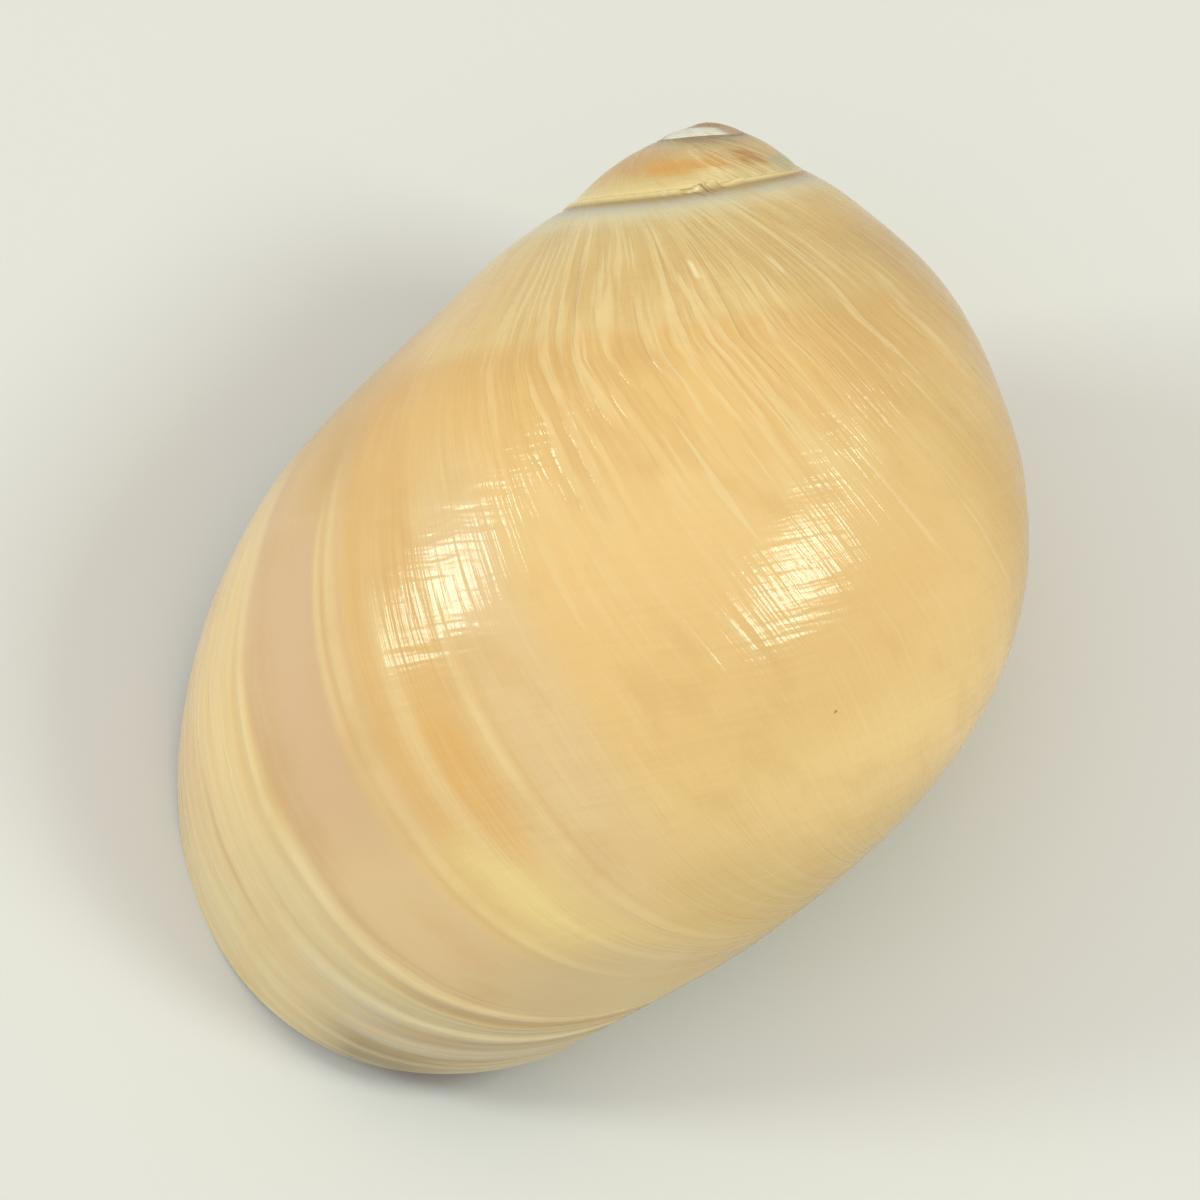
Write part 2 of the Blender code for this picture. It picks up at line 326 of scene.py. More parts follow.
@dataclass(frozen=True)
class Whorl:
    """Outline of the whorl, from the seam over the shoulder and round to the base."""

    coil: Coil
    crown: Span = (0.00521, 0.00337)
    shoulder: Span = (0.01028, 0.00696)
    below: Outline = (
        (0.01162, 0.00889),
        (0.01255, 0.01106),
        (0.01389, 0.01530),
        (0.01420, 0.01771),
        (0.01407, 0.02042),
        (0.01328, 0.02338),
        (0.01160, 0.02637),
        (0.00830, 0.02919),
        (0.00500, 0.03020),
        (0.00230, 0.02995),
        (0.00000, 0.02930),
    )
    base_number: int = 7
    columns_on_spire: int = 34
    columns_below: int = 72
    crowding: float = 0.92
    look_ahead: float = 0.0002

    def columns(self) -> tuple[np.ndarray, np.ndarray, np.ndarray]:
        """Read the outline at even steps, closer together at the seam and the shoulder.

        Returns:
            Section points, their shares of the way from seam to base, and the direction in which
            the outline leaves the base.
        """
        seam = (self.shoulder[0] / self.coil.ratio, self.shoulder[1] / self.coil.ratio)
        points = np.array((seam, self.crown, self.shoulder, *self.below))
        knots = lengths_along(points)
        shoulder_at = knots[2]
        base_at = knots[3 + self.base_number]
        even = np.linspace(0.0, 1.0, self.columns_on_spire + 1)
        crowded = even - self.crowding * np.sin(FULL_TURN * even) / FULL_TURN
        upper = shoulder_at * crowded
        lower = np.linspace(shoulder_at, base_at, self.columns_below + 1)
        wanted = np.concatenate([upper, lower[1:]])
        outer = smooth_through(knots, points, wanted)
        ahead = smooth_through(knots, points, np.array([base_at, base_at + self.look_ahead]))
        return outer, wanted / base_at, ahead[1] - ahead[0]


@dataclass(frozen=True)
class GrowthRidge:
    """A ridge left by a pause in the growth, or a furrow where its height is negative.

    Age and width are ages, top and bottom are sections, height is metres at turn angle zero.
    """

    age: float
    width: float
    height: float
    top: float
    bottom: float


@dataclass(frozen=True)
class Lean:
    """How much further the growth lines lean on older shell, and the ages over which that comes."""

    amount: float
    start: float
    end: float

    def at(self, age: np.ndarray) -> np.ndarray:
        """The further lean at ages."""
        return self.amount * eased(age, self.start, self.end)


@dataclass(frozen=True)
class GrowthLines:
    """How the growth lines run: swept back to the seam, leaning at mid whorl, swept to the base."""

    seam_sweep: float = 0.13
    seam_from: float = 0.25
    seam_reach: float = 0.20
    seam_curve: float = 1.5
    base_sweep: float = 0.055
    base_from: float = 0.70
    base_reach: float = 0.21
    base_curve: float = 1.3
    base_most: float = 2.0
    middle: float = 0.62
    shoulder_below: float = 0.37
    lip_lean: float = 0.05
    leans: tuple[Lean, ...] = (Lean(0.50, 0.95, 1.70), Lean(1.10, 2.00, 3.20))
    spire_from: Span = (6.00, 8.00)
    spire_lean: float = 1.60
    shoulder: float = 0.24

    def through(self, section: np.ndarray, age: np.ndarray) -> np.ndarray:
        """Name the growth line through a place by its age at mid whorl.

        Args:
            section: Shares of the way from seam to base.
            age: Radians grown since the place stood at the lip.

        Returns:
            Ages at mid whorl.
        """
        on_spire = eased(age, *self.spire_from)
        lean = self.lip_lean + sum(lean.at(age) for lean in self.leans)
        line = age + lean * np.clip(self.middle - section, 0.0, self.shoulder_below)
        line = line + on_spire * self.spire_lean * np.clip(self.shoulder - section, 0.0, 1.0)
        above = np.clip((self.seam_from - section) / self.seam_reach, 0.0, None)
        line = line - (1 - on_spire) * self.seam_sweep * above**self.seam_curve
        below = np.clip((section - self.base_from) / self.base_reach, 0.0, self.base_most)
        return line + self.base_sweep * below**self.base_curve


@dataclass(frozen=True)
class Swell:
    """A place where the whorls are rounder than the rule.

    Age is the growth past the body whorl's seam, under is sections below that seam, negative on
    the spire, and height is metres at turn angle zero.
    """

    age: float
    age_reach: float
    under: float
    under_reach: float
    height: float


@dataclass(frozen=True)
class Relief:
    """Ridges and furrows that stand out of the smooth whorl, in metres at turn angle zero."""

    coil: Coil
    lines: GrowthLines
    shoulder: float
    whorl_turn: float
    cord_height: float = 0.000088
    cord_middle: float = 0.0044
    cord_width: float = 0.0032
    cord_by_lip: Span = (1.0, 1.9)
    cord_fade: Span = (3.3, 4.0)
    old_cord: float = 0.35
    furrow_depth: float = 0.000040
    furrow_at: float = 0.0125
    furrow_width: float = 0.0028
    broken: Span = (2.82, 0.26)
    broken_depth: float = 2.6
    broken_cell: Span = (0.080, 1.0)
    fine_broken_cell: Span = (0.045, 1.0)
    fine_broken_share: float = 0.6
    streak_height: float = 0.000010
    streak_cell: Span = (0.050, 0.16)
    streak_from: Span = (1.2, 1.7)
    streak_top: Span = (0.02, 0.07)
    streak_bottom: Span = (0.36, 0.56)
    wave_height: float = 0.000020
    wave_cell: Span = (0.140, 0.60)
    wave_top: Span = (0.02, 0.10)
    swells: tuple[Swell, ...] = (
        Swell(3.60, 0.95, 0.015, 0.085, 0.00039),
        Swell(1.90, 0.75, -0.050, 0.040, 0.00019),
    )
    settle: float = 0.03
    plain_base: Span = (0.97, 1.0)
    ridges: tuple[GrowthRidge, ...] = (
        GrowthRidge(0.120, 0.012, 0.000022, 0.84, 1.00),
        GrowthRidge(0.160, 0.012, -0.000026, 0.84, 1.00),
        GrowthRidge(0.225, 0.012, 0.000024, 0.50, 0.94),
        GrowthRidge(0.258, 0.014, -0.000024, 0.60, 0.72),
        GrowthRidge(0.285, 0.012, -0.000026, 0.80, 1.02),
        GrowthRidge(0.262, 0.010, 0.000030, 0.50, 0.66),
        GrowthRidge(0.305, 0.010, 0.000020, 0.45, 0.80),
        GrowthRidge(0.335, 0.012, 0.000042, 0.72, 1.02),
        GrowthRidge(0.365, 0.012, -0.000024, 0.70, 1.02),
        GrowthRidge(0.400, 0.016, 0.000024, 0.40, 0.70),
        GrowthRidge(0.446, 0.020, -0.000026, 0.76, 1.02),
        GrowthRidge(0.455, 0.011, -0.000022, 0.45, 0.62),
        GrowthRidge(0.490, 0.014, 0.000046, 0.50, 1.00),
        GrowthRidge(0.530, 0.018, -0.000024, 0.55, 0.95),
        GrowthRidge(0.782, 0.009, 0.000026, 0.40, 0.62),
        GrowthRidge(0.800, 0.009, -0.000022, 0.42, 0.84),
        GrowthRidge(0.822, 0.012, 0.000036, 0.36, 0.92),
        GrowthRidge(0.850, 0.008, -0.000014, 0.42, 0.80),
        GrowthRidge(0.872, 0.007, 0.000018, 0.42, 0.56),
        GrowthRidge(0.945, 0.020, 0.000020, 0.50, 0.95),
        GrowthRidge(1.108, 0.012, 0.000038, 0.46, 0.92),
        GrowthRidge(1.135, 0.014, -0.000015, 0.54, 0.85),
    )
    ridge_blur: float = 0.06
    ridge_cell: Span = (0.060, 0.11)
    ridge_unevenness: float = 0.55

    def streaks(self, section: np.ndarray, line: np.ndarray) -> np.ndarray:
        """Fine streaks along the growth lines.

        Args:
            section: Shares of the way from seam to base.
            line: Growth line through each place.

        Returns:
            Values from -1 to 1.
        """
        strong = eased(line, *self.streak_from) * eased(section, *self.streak_top)
        strong = strong * (1 - eased(section, *self.streak_bottom))
        return strong * wandering(line, section, self.streak_cell, Seed.STREAKS)

    def pauses(self, section: np.ndarray, line: np.ndarray) -> np.ndarray:
        """Height of the single ridges.

        Args:
            section: Shares of the way from seam to base.
            line: Growth line through each place.

        Returns:
            Heights in metres at turn angle zero.
        """
        total = np.zeros(np.broadcast(section, line).shape)
        for ridge in self.ridges:
            inside = eased(section, ridge.top - self.ridge_blur, ridge.top + self.ridge_blur)
            outside = eased(section, ridge.bottom - self.ridge_blur, ridge.bottom + self.ridge_blur)
            total = total + ridge.height * bell(line, ridge.age, ridge.width) * inside * (1 - outside)
        uneven = wandering(line, section, self.ridge_cell, Seed.RIDGES)
        return total * (1 + self.ridge_unevenness * uneven)

    def cord(self, section: np.ndarray, age: np.ndarray) -> np.ndarray:
        """Height of the cord along the seam, and depth of the furrow under it.

        Args:
            section: Shares of the way from seam to base.
            age: Radians grown since the place stood at the lip.

        Returns:
            Heights in metres at turn angle zero.
        """
        level = np.zeros_like(age)
        fine = wandering(age, level, self.fine_broken_cell, Seed.FINE_CORD)
        rough = wandering(age, level, self.broken_cell, Seed.CORD) + self.fine_broken_share * fine
        height = self.cord_height * (1 + self.broken_depth * bell(age, *self.broken) * rough)
        full = eased(age, *self.cord_by_lip) * (1 - eased(age, *self.cord_fade))
        height = height * (self.old_cord + (1 - self.old_cord) * full)
        cord = height * bell(section, self.cord_middle, self.cord_width)
        furrow = self.furrow_depth * bell(section, self.furrow_at, self.furrow_width)
        return cord - furrow

    def swelling(self, section: np.ndarray, age: np.ndarray) -> np.ndarray:
        """Height of the swells, the same on both sides of a seam.

        Args:
            section: Shares of the way from seam to base.
            age: Radians grown since the place stood at the lip.

        Returns:
            Heights in metres at turn angle zero.
        """
        whorl = np.floor(age / self.whorl_turn)
        since = age - whorl * self.whorl_turn
        smaller = self.coil.ratio ** -whorl
        above = self.shoulder * (1 - self.coil.ratio * smaller) / (self.coil.ratio - 1)
        under = np.where(whorl > 0, (section - self.shoulder) * smaller - above, section)
        total = np.zeros(np.broadcast(section, age).shape)
        for swell in self.swells:
            mask = bell(since, swell.age, swell.age_reach)
            mask = mask * bell(under, swell.under, swell.under_reach)
            total = total + swell.height * mask
        return total / smaller

    def height(self, section: np.ndarray, age: np.ndarray) -> np.ndarray:
        """Height of the surface over the smooth whorl.

        Args:
            section: Shares of the way from seam to base.
            age: Radians grown since the place stood at the lip.

        Returns:
            Heights in metres at turn angle zero.
        """
        line = self.lines.through(section, age)
        height = self.streak_height * self.streaks(section, line)
        waves = wandering(line, section, self.wave_cell, Seed.WAVES)
        height = height + self.wave_height * waves * eased(section, *self.wave_top)
        height = height + self.pauses(section, line) + self.cord(section, age)
        height = height + self.swelling(section, age)
        return height * eased(age, 0.0, self.settle) * (1 - eased(section, *self.plain_base))

    def raised(
        self, points: np.ndarray, section: np.ndarray, age: np.ndarray, turn: np.ndarray
    ) -> np.ndarray:
        """Move a grid of points out along its normals by the relief.

        Args:
            points: Grid of points, rows along the growth and columns along the section.
            section: Section share of each column.
            age: Age of each row.
            turn: Turn angle of each point.

        Returns:
            The moved grid.
        """
        normal = unit(np.cross(np.gradient(points, axis=0), np.gradient(points, axis=1)))
        outward = points * np.array([1.0, 0.0, 1.0])
        if (normal * outward).sum() < 0:
            normal = -normal
        sections, ages = np.broadcast_arrays(section[None, :], age[:, None])
        height = self.height(sections, ages) * self.coil.size_at(turn)
        return points + normal * height[..., None]


@dataclass
class Skin:
    """Points and faces gathered for one mesh, each corner with its place on the shell."""

    points: list[tuple[float, ...]] = field(default_factory=list)
    faces: list[list[int]] = field(default_factory=list)
    corners: list[tuple[float, float, float]] = field(default_factory=list)
    finishes: list[int] = field(default_factory=list)

    def add(self, points: np.ndarray) -> list[int]:
        """Add points.

        Args:
            points: Points in space.

        Returns:
            Their numbers.
        """
        first = len(self.points)
        self.points.extend(map(tuple, points.tolist()))
        return list(range(first, len(self.points)))

    def face(self, corners: Sequence[tuple[int, tuple[float, ...]]], finish: Finish) -> None:
        """Add one face, leaving out corners that it names twice.

        Args:
            corners: Number and shell place of each corner.
            finish: The glaze that the face wears.
        """
        kept: dict[int, tuple[float, ...]] = {}
        for number, place in corners:
            kept.setdefault(number, place)
        if len(kept) > 2:
            self.faces.append(list(kept))
            self.corners.extend(kept.values())
            self.finishes.append(finish.value)

    def strip(
        self,
        left: Sequence[int],
        right: Sequence[int],
        left_place: np.ndarray,
        right_place: np.ndarray,
        finish: Finish,
    ) -> None:
        """Join two lines of points with faces.

        Args:
            left: Numbers of the first line's points.
            right: Numbers of the second line's points.
            left_place: Shell places along the first line.
            right_place: Shell places along the second line.
            finish: The glaze that the faces wear.
        """
        left_places = list(map(tuple, left_place.tolist()))
        right_places = list(map(tuple, right_place.tolist()))
        for i in range(len(left) - 1):
            self.face(
                (
                    (left[i], left_places[i]),
                    (left[i + 1], left_places[i + 1]),
                    (right[i + 1], right_places[i + 1]),
                    (right[i], right_places[i]),
                ),
                finish,
            )

    def close(
        self,
        loop: list[int],
        middle: np.ndarray,
        rings: int,
        place: tuple[float, float, float],
        finish: Finish,
    ) -> None:
        """Close a loop with rings that rise like a dome to a middle point.

        Args:
            loop: Numbers of the loop's points.
            middle: Top of the dome.
            rings: How many rings to make.
            place: Shell place given to all of it.
            finish: The glaze that it wears.
        """
        edge = np.array([self.points[i] for i in loop])
        flat_middle = edge.mean(axis=0)
        places = np.tile(np.array(place), (len(loop) + 1, 1))
        previous = loop
        for ring in range(1, rings):
            share = ring / rings
            lift = math.sin(share * math.pi / 2)
            points = flat_middle + (edge - flat_middle) * math.cos(share * math.pi / 2)
            current = self.add(points + (middle - flat_middle) * lift)
            self.strip(previous + previous[:1], current + current[:1], places, places, finish)
            previous = current
        top = self.add(middle[None, :])[0]
        for i, number in enumerate(previous):
            following = previous[(i + 1) % len(previous)]
            self.face(((number, place), (following, place), (top, place)), finish)

    def to_object(self, name: str) -> bpy.types.Object:
        """Make the mesh object, with its shell places and smooth shading.

        Args:
            name: Name of the object.

        Returns:
            The object, linked to the scene.
        """
        mesh = bpy.data.meshes.new(name)
        mesh.from_pydata(self.points, [], self.faces)
        places = mesh.attributes.new(PLACE_NAME, "FLOAT_VECTOR", "CORNER")
        places.data.foreach_set("vector", np.array(self.corners, np.float32).ravel())
        mesh.polygons.foreach_set("material_index", np.array(self.finishes, np.int32))
        mesh.shade_smooth()
        mesh.update()
        return placed(name, mesh)


@dataclass
class MoonSnailShell:
    """The whole shell: whorls, spire, navel pad, inner lip and hollow, as one closed skin."""

    coil: Coil = field(default_factory=Coil)
    hollow: Outline = (
        (0.00455, 0.00335),
        (0.00690, 0.00490),
        (0.00920, 0.00680),
        (0.01090, 0.00900),
        (0.01200, 0.01140),
        (0.01295, 0.01400),
        (0.01350, 0.01650),
        (0.01360, 0.01900),
        (0.01310, 0.02180),
        (0.01190, 0.02470),
        (0.01040, 0.02670),
        (0.00900, 0.02775),
        (0.00800, 0.02620),
        (0.00730, 0.02360),
        (0.00675, 0.02050),
        (0.00635, 0.01700),
        (0.00600, 0.01320),
        (0.00580, 0.00960),
        (0.00550, 0.00690),
        (0.00505, 0.00480),
    )
    hollow_foot: int = 11
    hollow_centre: Span = (0.0105, 0.0160)
    hollow_tries: int = 2000
    hollow_depth: float = 3.6
    catch_up: float = 0.0016
    inner_lip: Outline = (
        (0.00397, 0.00280),
        (0.00426, 0.00317),
        (0.00458, 0.00385),
        (0.00510, 0.00549),
        (0.00522, 0.00742),
        (0.00525, 0.00970),
        (0.00545, 0.01350),
        (0.00585, 0.01800),
        (0.00650, 0.02220),
        (0.00720, 0.02550),
        (0.00785, 0.02780),
    )
    rows_per_whorl: int = 370
    rows_closer: float = 0.5
    rows_closest: float = 0.11
    base_rings: int = 12
    lip_rings: int = 6
    glaze_steps: int = 5
    hollow_rows: int = 16
    hollow_crowding: float = 1.7
    lip_share: float = 0.13
    thickening: float = 0.95
    cap_rings: int = 6
    first_turn: float = -17.5
    tip_rise: float = 0.00004
    pillar_inset: float = 0.0016
    inset_spread: float = 0.7
    base_fullness: float = 1.2
    base_fade: float = 0.15
    base_section: float = 0.25
    lip_round: float = 0.016
    lip_fade: float = 0.24
    glaze_rise: float = 0.00035
    glaze_full_width: float = 0.002
    ridge_in_full: float = 0.000075
    rest_turns: tuple[float, float, float] = (34.8, -0.4, -0.3)
    crease_angle: float = 50.0

    def __post_init__(self) -> None:
        """Read the whorl's columns once, with their places in the mouth."""
        self.whorl = Whorl(self.coil)
        self.outer, self.shares, self.inward = self.whorl.columns()
        self.lag = self.coil.mouth_turn(self.outer)
        self.spire = self.whorl.columns_on_spire
        whorl_turn = FULL_TURN + self.lag[self.spire] - self.lag[0]
        count = int((self.lag[0] - self.first_turn) / whorl_turn * self.rows_per_whorl)
        whorls = np.arange(count + 1) / self.rows_per_whorl
        wave = np.sin(FULL_TURN * (whorls - self.rows_closest))
        wave = wave + math.sin(FULL_TURN * self.rows_closest)
        self.ages = whorl_turn * (whorls - self.rows_closer * wave / FULL_TURN)
        self.age_shares = self.ages[: self.rows_per_whorl + 1] / whorl_turn
        self.lines = GrowthLines()
        self.relief = Relief(self.coil, self.lines, self.shares[self.spire], whorl_turn)
        self.skin = Skin()

    def shell_places(self, shares: np.ndarray, age: float | np.ndarray) -> np.ndarray:
        """Growth line, section and age of places on the outside.

        Args:
            shares: Section shares.
            age: Ages, one for each share or one for all.

        Returns:
            One row of three numbers for each place.
        """
        shares, ages = np.broadcast_arrays(shares, np.asarray(age, float))
        return np.stack([self.lines.through(shares, ages), shares, ages], axis=-1)

    def grow_outside(self) -> list[list[int]]:
        """Lay the outer surface, row by row, from the lip back to the first whorl.

        Returns:
            Point numbers of each row, from the seam down.
        """
        skin = self.skin
        rows_per_whorl = self.rows_per_whorl
        count = len(self.ages) - 1
        last_whorl = self.raised_rows(0, rows_per_whorl + 1, len(self.outer))
        earlier = self.raised_rows(rows_per_whorl + 1, count + 1, self.spire + 1)
        grids = [*last_whorl, *earlier]
        rows = [skin.add(row[1:]) for row in grids]
        earliest = range(count + 1 - rows_per_whorl, count + 1)
        seams = [rows[i + rows_per_whorl][self.spire - 1] for i in range(earliest.start)]
        seams += [skin.add(grids[i][:1])[0] for i in earliest]
        rows = [[seam, *row] for seam, row in zip(seams, rows)]
        for i in range(count):
            shared = min(len(rows[i]), len(rows[i + 1]))
            shares = self.shares[:shared]
            skin.strip(
                rows[i][:shared],
                rows[i + 1][:shared],
                self.shell_places(shares, self.ages[i]),
                self.shell_places(shares, self.ages[i + 1]),
                Finish.OUTSIDE,
            )
        self.close_tip(rows)
        return rows

    def raised_rows(self, first: int, end: int, columns: int) -> np.ndarray:
        """Points of some rows, with their relief.

        Args:
            first: Number of the first row.
            end: Number after the last row.
            columns: How many columns to make.

        Returns:
            Grid of points.
        """
        ages = self.ages[first:end]
        turns = self.lag[None, :columns] - ages[:, None]
        sections = np.broadcast_to(self.outer[None, :columns], (len(ages), columns, 2))
        points = self.coil.place(sections, turns)
        return self.relief.raised(points, self.shares[:columns], ages, turns)

    def close_tip(self, rows: list[list[int]]) -> None:
        """Close the first whorl with a small dome.

        Args:
            rows: Point numbers of each row.
        """
        seam_line = [row[0] for row in rows[len(rows) - self.rows_per_whorl :]]
        loop = seam_line + rows[-1][1:]
        edge = np.array([self.skin.points[i] for i in loop])
        top = edge.mean(axis=0) + np.array([0.0, self.tip_rise, 0.0])
        age = self.ages[-1]
        self.skin.close(loop, top, self.cap_rings, (age, 0.0, age), Finish.OUTSIDE)

    def cover_base(self, rows: list[list[int]]) -> list[int]:
        """Fill the navel with a smooth pad, from the base across to the inner lip's side.

        Args:
            rows: Point numbers of each row of the outside.

        Returns:
            Point numbers of the pad's far edge, from the mouth back.
        """
        share = self.age_shares
        ages = self.ages[: len(share)]
        turns = self.lag[-1] - ages
        beyond = self.lag[-1] + share * (FULL_TURN - ages[-1])
        section = self.outer[-1]
        near = self.coil.place(np.tile(section, (len(share), 1)), turns)
        run = unit(self.coil.place(np.tile(section + self.inward, (len(share), 1)), turns) - near)
        pillar = section * self.coil.ratio ** -share[:, None]
        pillar[:, 0] -= self.pillar_inset * np.sin(np.pi * share) ** self.inset_spread
        far = self.coil.place(pillar, beyond)
        width = np.linalg.norm(far - near, axis=1, keepdims=True)
        fullness = self.base_fullness * np.clip(share / self.base_fade, 0.0, 1.0)[:, None]
        previous = [row[-1] for row in rows[: self.rows_per_whorl + 1]]
        first, last = previous[0], previous[-1]
        previous_place = self.shell_places(np.ones(len(share)), ages)
        for ring in range(1, self.base_rings + 1):
            u = ring / self.base_rings
            points = (
                near * (2 * u**3 - 3 * u**2 + 1)
                + far * (3 * u**2 - 2 * u**3)
                + run * width * fullness * (u**3 - 2 * u**2 + u)
                + (far - near) * (u**3 - u**2)
            )
            current = [first, *self.skin.add(points[1:-1]), last]
            place = self.shell_places(np.full(len(share), 1 + self.base_section * u), ages)
            self.skin.strip(previous, current, previous_place, place, Finish.OUTSIDE)
            previous, previous_place = current, place
        return previous

    def inner_lip_section(self) -> np.ndarray:
        """Find the inner lip, level with the points that it borders on.

        Returns:
            Its section points.
        """
        points = np.array((self.outer[0], *self.inner_lip, self.outer[-1]))
        crossed_down = self.outer[self.spire :, 1] / self.coil.ratio
        pillar_down = self.outer[-1, 1] * self.coil.ratio ** -self.age_shares[-2::-1]
        return smooth_through(points[:, 1], points, np.concatenate([crossed_down, pillar_down]))

    def glaze_inner_lip(
        self, lip: list[int], section: np.ndarray, turns: np.ndarray, border: list[int]
    ) -> None:
        """Lay the smooth glaze between the inner lip and the whorl that it lies on.

        Args:
            lip: Point numbers of the inner lip.
            section: Its section points.
            turns: Its turn angles.
            border: Point numbers of the glaze's outer border.
        """
        lip_points = self.coil.place(section, turns)
        border_points = np.array([self.skin.points[i] for i in border])
        across = border_points - lip_points
        rise = unit(np.cross(np.gradient(lip_points, axis=0), across))
        width = np.linalg.norm(across, axis=1, keepdims=True) / self.glaze_full_width
        along = np.linspace(0.0, 1.0, len(lip))
        previous = lip
        previous_place = np.stack([np.zeros(len(lip)), along, np.zeros(len(lip))], axis=-1)
        for i in range(1, self.glaze_steps + 1):
            share = i / self.glaze_steps
            lift = self.glaze_rise * math.sin(share * math.pi)
            if i < self.glaze_steps:
                middle = lip_points + across * share + rise * lift * np.minimum(width, 1.0)
                current = [lip[0], *self.skin.add(middle[1:-1]), lip[-1]]
            else:
                current = border
            place = previous_place - np.array([share, 0.0, 0.0])
            place[:, 0] = -share
            self.skin.strip(previous, current, previous_place, place, Finish.PORCELAIN)
            previous, previous_place = current, place

    def hollow_loop(self, lip_down: np.ndarray) -> np.ndarray:
        """Outline of the hollow, with as many points as the mouth has.

        Args:
            lip_down: Distances below the tip along the inner lip, to stay level with.

        Returns:
            Section points round the hollow.
        """
        points = np.array(self.hollow)
        wrapped = np.concatenate([points[-3:], points, points[:3]])
        knots = lengths_along(wrapped)
        corner, foot, end = knots[3], knots[3 + self.hollow_foot], knots[3 + len(points)]
        outer = np.linspace(corner, foot, len(self.outer))
        fine = np.linspace(end, foot, self.hollow_tries)
        fine_down = smooth_through(knots, wrapped, fine)[:, 1]
        from_corner = np.exp((lip_down[0] - lip_down) / self.catch_up)
        from_foot = np.exp((lip_down - lip_down[-1]) / self.catch_up)
        level = lip_down + (fine_down[0] - lip_down[0]) * from_corner
        level = level + (fine_down[-1] - lip_down[-1]) * from_foot
        inner = np.interp(level, fine_down, fine)[::-1]
        return smooth_through(knots, wrapped, np.concatenate([outer, inner[1:-1]]))

    def line_hollow(
        self, mouth: list[int], section: np.ndarray, turns: np.ndarray, loop: np.ndarray
    ) -> None:
        """Round the lip over and carry the hollow back along the spiral to a closed end.

        Args:
            mouth: Point numbers round the mouth.
            section: Its section points.
            turns: Its turn angles.
            loop: Section points round the hollow.
        """
        outer_count = len(self.outer) - 1
        number = np.arange(len(mouth))
        shares = np.where(number <= outer_count, number / outer_count, 1.0)
        to_corner = np.minimum(shares, 1.0 - shares) / self.lip_fade
        rounding = self.lip_round * np.clip(to_corner, 0.0, 1.0)
        around = np.append(number / len(mouth), 1.0)
        previous = mouth + mouth[:1]
        edge = np.append(rounding, rounding[0]) / self.lip_round
        previous_place = np.stack([np.zeros_like(around), around, edge], axis=-1)
        for i in range(1, self.lip_rings + self.hollow_rows + 1):
            on_lip = min(i / self.lip_rings, 1.0)
            back = (max(i - self.lip_rings, 0) / self.hollow_rows) ** self.hollow_crowding
            deep = min(self.hollow_depth * back / self.thickening, 1.0)
            across = self.lip_share * (1 - math.cos(on_lip * math.pi)) / 2
            across = across + (1 - self.lip_share) * deep * (2 - deep)
            forward = rounding * math.sin(on_lip * math.pi)
            points = section + (loop - section) * across
            levelled = turns + (turns.mean() - turns) * back
            depth = self.hollow_depth * back
            current = self.skin.add(self.coil.place(points, levelled + forward - depth))
            edge = np.append(rounding, rounding[0]) / self.lip_round * (1 - on_lip)
            place = np.stack([np.full_like(around, depth), around, edge], axis=-1)
            self.skin.strip(
                previous, current + current[:1], previous_place, place, Finish.PORCELAIN
            )
            previous, previous_place = current + current[:1], place
        end = self.coil.place(
            np.array([self.hollow_centre]), np.array([turns.mean() - self.hollow_depth])
        )
        deepest = (self.hollow_depth, 0.5, 0.0)
        self.skin.close(previous[:-1], end[0], 1, deepest, Finish.PORCELAIN)

    def build(self) -> bpy.types.Object:
        """Build the shell and lay it where the solid shell lies.

        Returns:
            The shell's mesh object.
        """
        rows = self.grow_outside()
        pillar = self.cover_base(rows)
        crossed = rows[self.rows_per_whorl][self.spire :]
        border = crossed + pillar[::-1][1:]
        lip_section = self.inner_lip_section()
        lip_turn = self.coil.mouth_turn(lip_section)
        inner = self.skin.add(self.coil.place(lip_section[1:-1], lip_turn[1:-1]))
        lip = [border[0], *inner, border[-1]]
        self.glaze_inner_lip(lip, lip_section, lip_turn, border)
        mouth = rows[0] + lip[::-1][1:-1]
        section = np.concatenate([self.outer, lip_section[::-1][1:-1]])
        turns = np.concatenate([self.lag, lip_turn[::-1][1:-1]])
        self.line_hollow(mouth, section, turns, self.hollow_loop(lip_section[:, 1]))
        shell = self.skin.to_object("golden_shell")
        self.mark_ridge_tone_and_shade(shell)
        self.lay_down(shell)
        return shell

    def mark_ridge_tone_and_shade(self, shell: bpy.types.Object) -> None:
        """Store how far each place stands in a ridge or a furrow, so that its colour can follow: paler
        on crests and darker in furrows, partly the shell's own tone and partly painted light and shade.

        Args:
            shell: The shell's mesh object.
        """
        line, section, _ = np.array(self.skin.corners).T
        # Ridge heights that tint the colour: partly the shell's own tone, partly painted light on crests
        # and painted shade in furrows.
        values = self.relief.pauses(section, line) / self.ridge_in_full
        ridge_tone_and_shade = shell.data.attributes.new(RIDGE_TONE_AND_SHADE_NAME, "FLOAT", "CORNER")
        ridge_tone_and_shade.data.foreach_set("value", np.clip(values, -1.0, 1.0).astype(np.float32))

    def lay_down(self, shell: bpy.types.Object) -> None:
        """Turn the shell onto its mouth, over the place of the solid shell.

        Args:
            shell: The shell's mesh object.
        """
        angles = [math.radians(angle) for angle in self.rest_turns]
        shell.data.transform(Euler(angles, "XYZ").to_matrix().to_4x4())
        count = len(shell.data.vertices)
        points = np.empty(count * 3)
        shell.data.vertices.foreach_get("co", points)
        points = points.reshape(-1, 3)
        low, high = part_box("shell")
        middle = (points.min(axis=0) + points.max(axis=0)) / 2
        points += np.array([0.0, 0.0, low.z - points[:, 2].min()])
        points[:, 0] += (low.x + high.x) / 2 - middle[0]
        points[:, 1] += (low.y + high.y) / 2 - middle[1]
        shell.data.vertices.foreach_set("co", points.ravel())
        shell.data.set_sharp_from_angle(angle=math.radians(self.crease_angle))
        shell.data.update()


@dataclass(frozen=True)
class Pattern:
    """A noise drawn out over the shell, by its cells along the growth and across the section.

    Edges harden the noise: it is 0 below the first and 1 above the second.
    """

    along: float
    across: float
    detail: float
    seed: float
    edges: Span | None = None


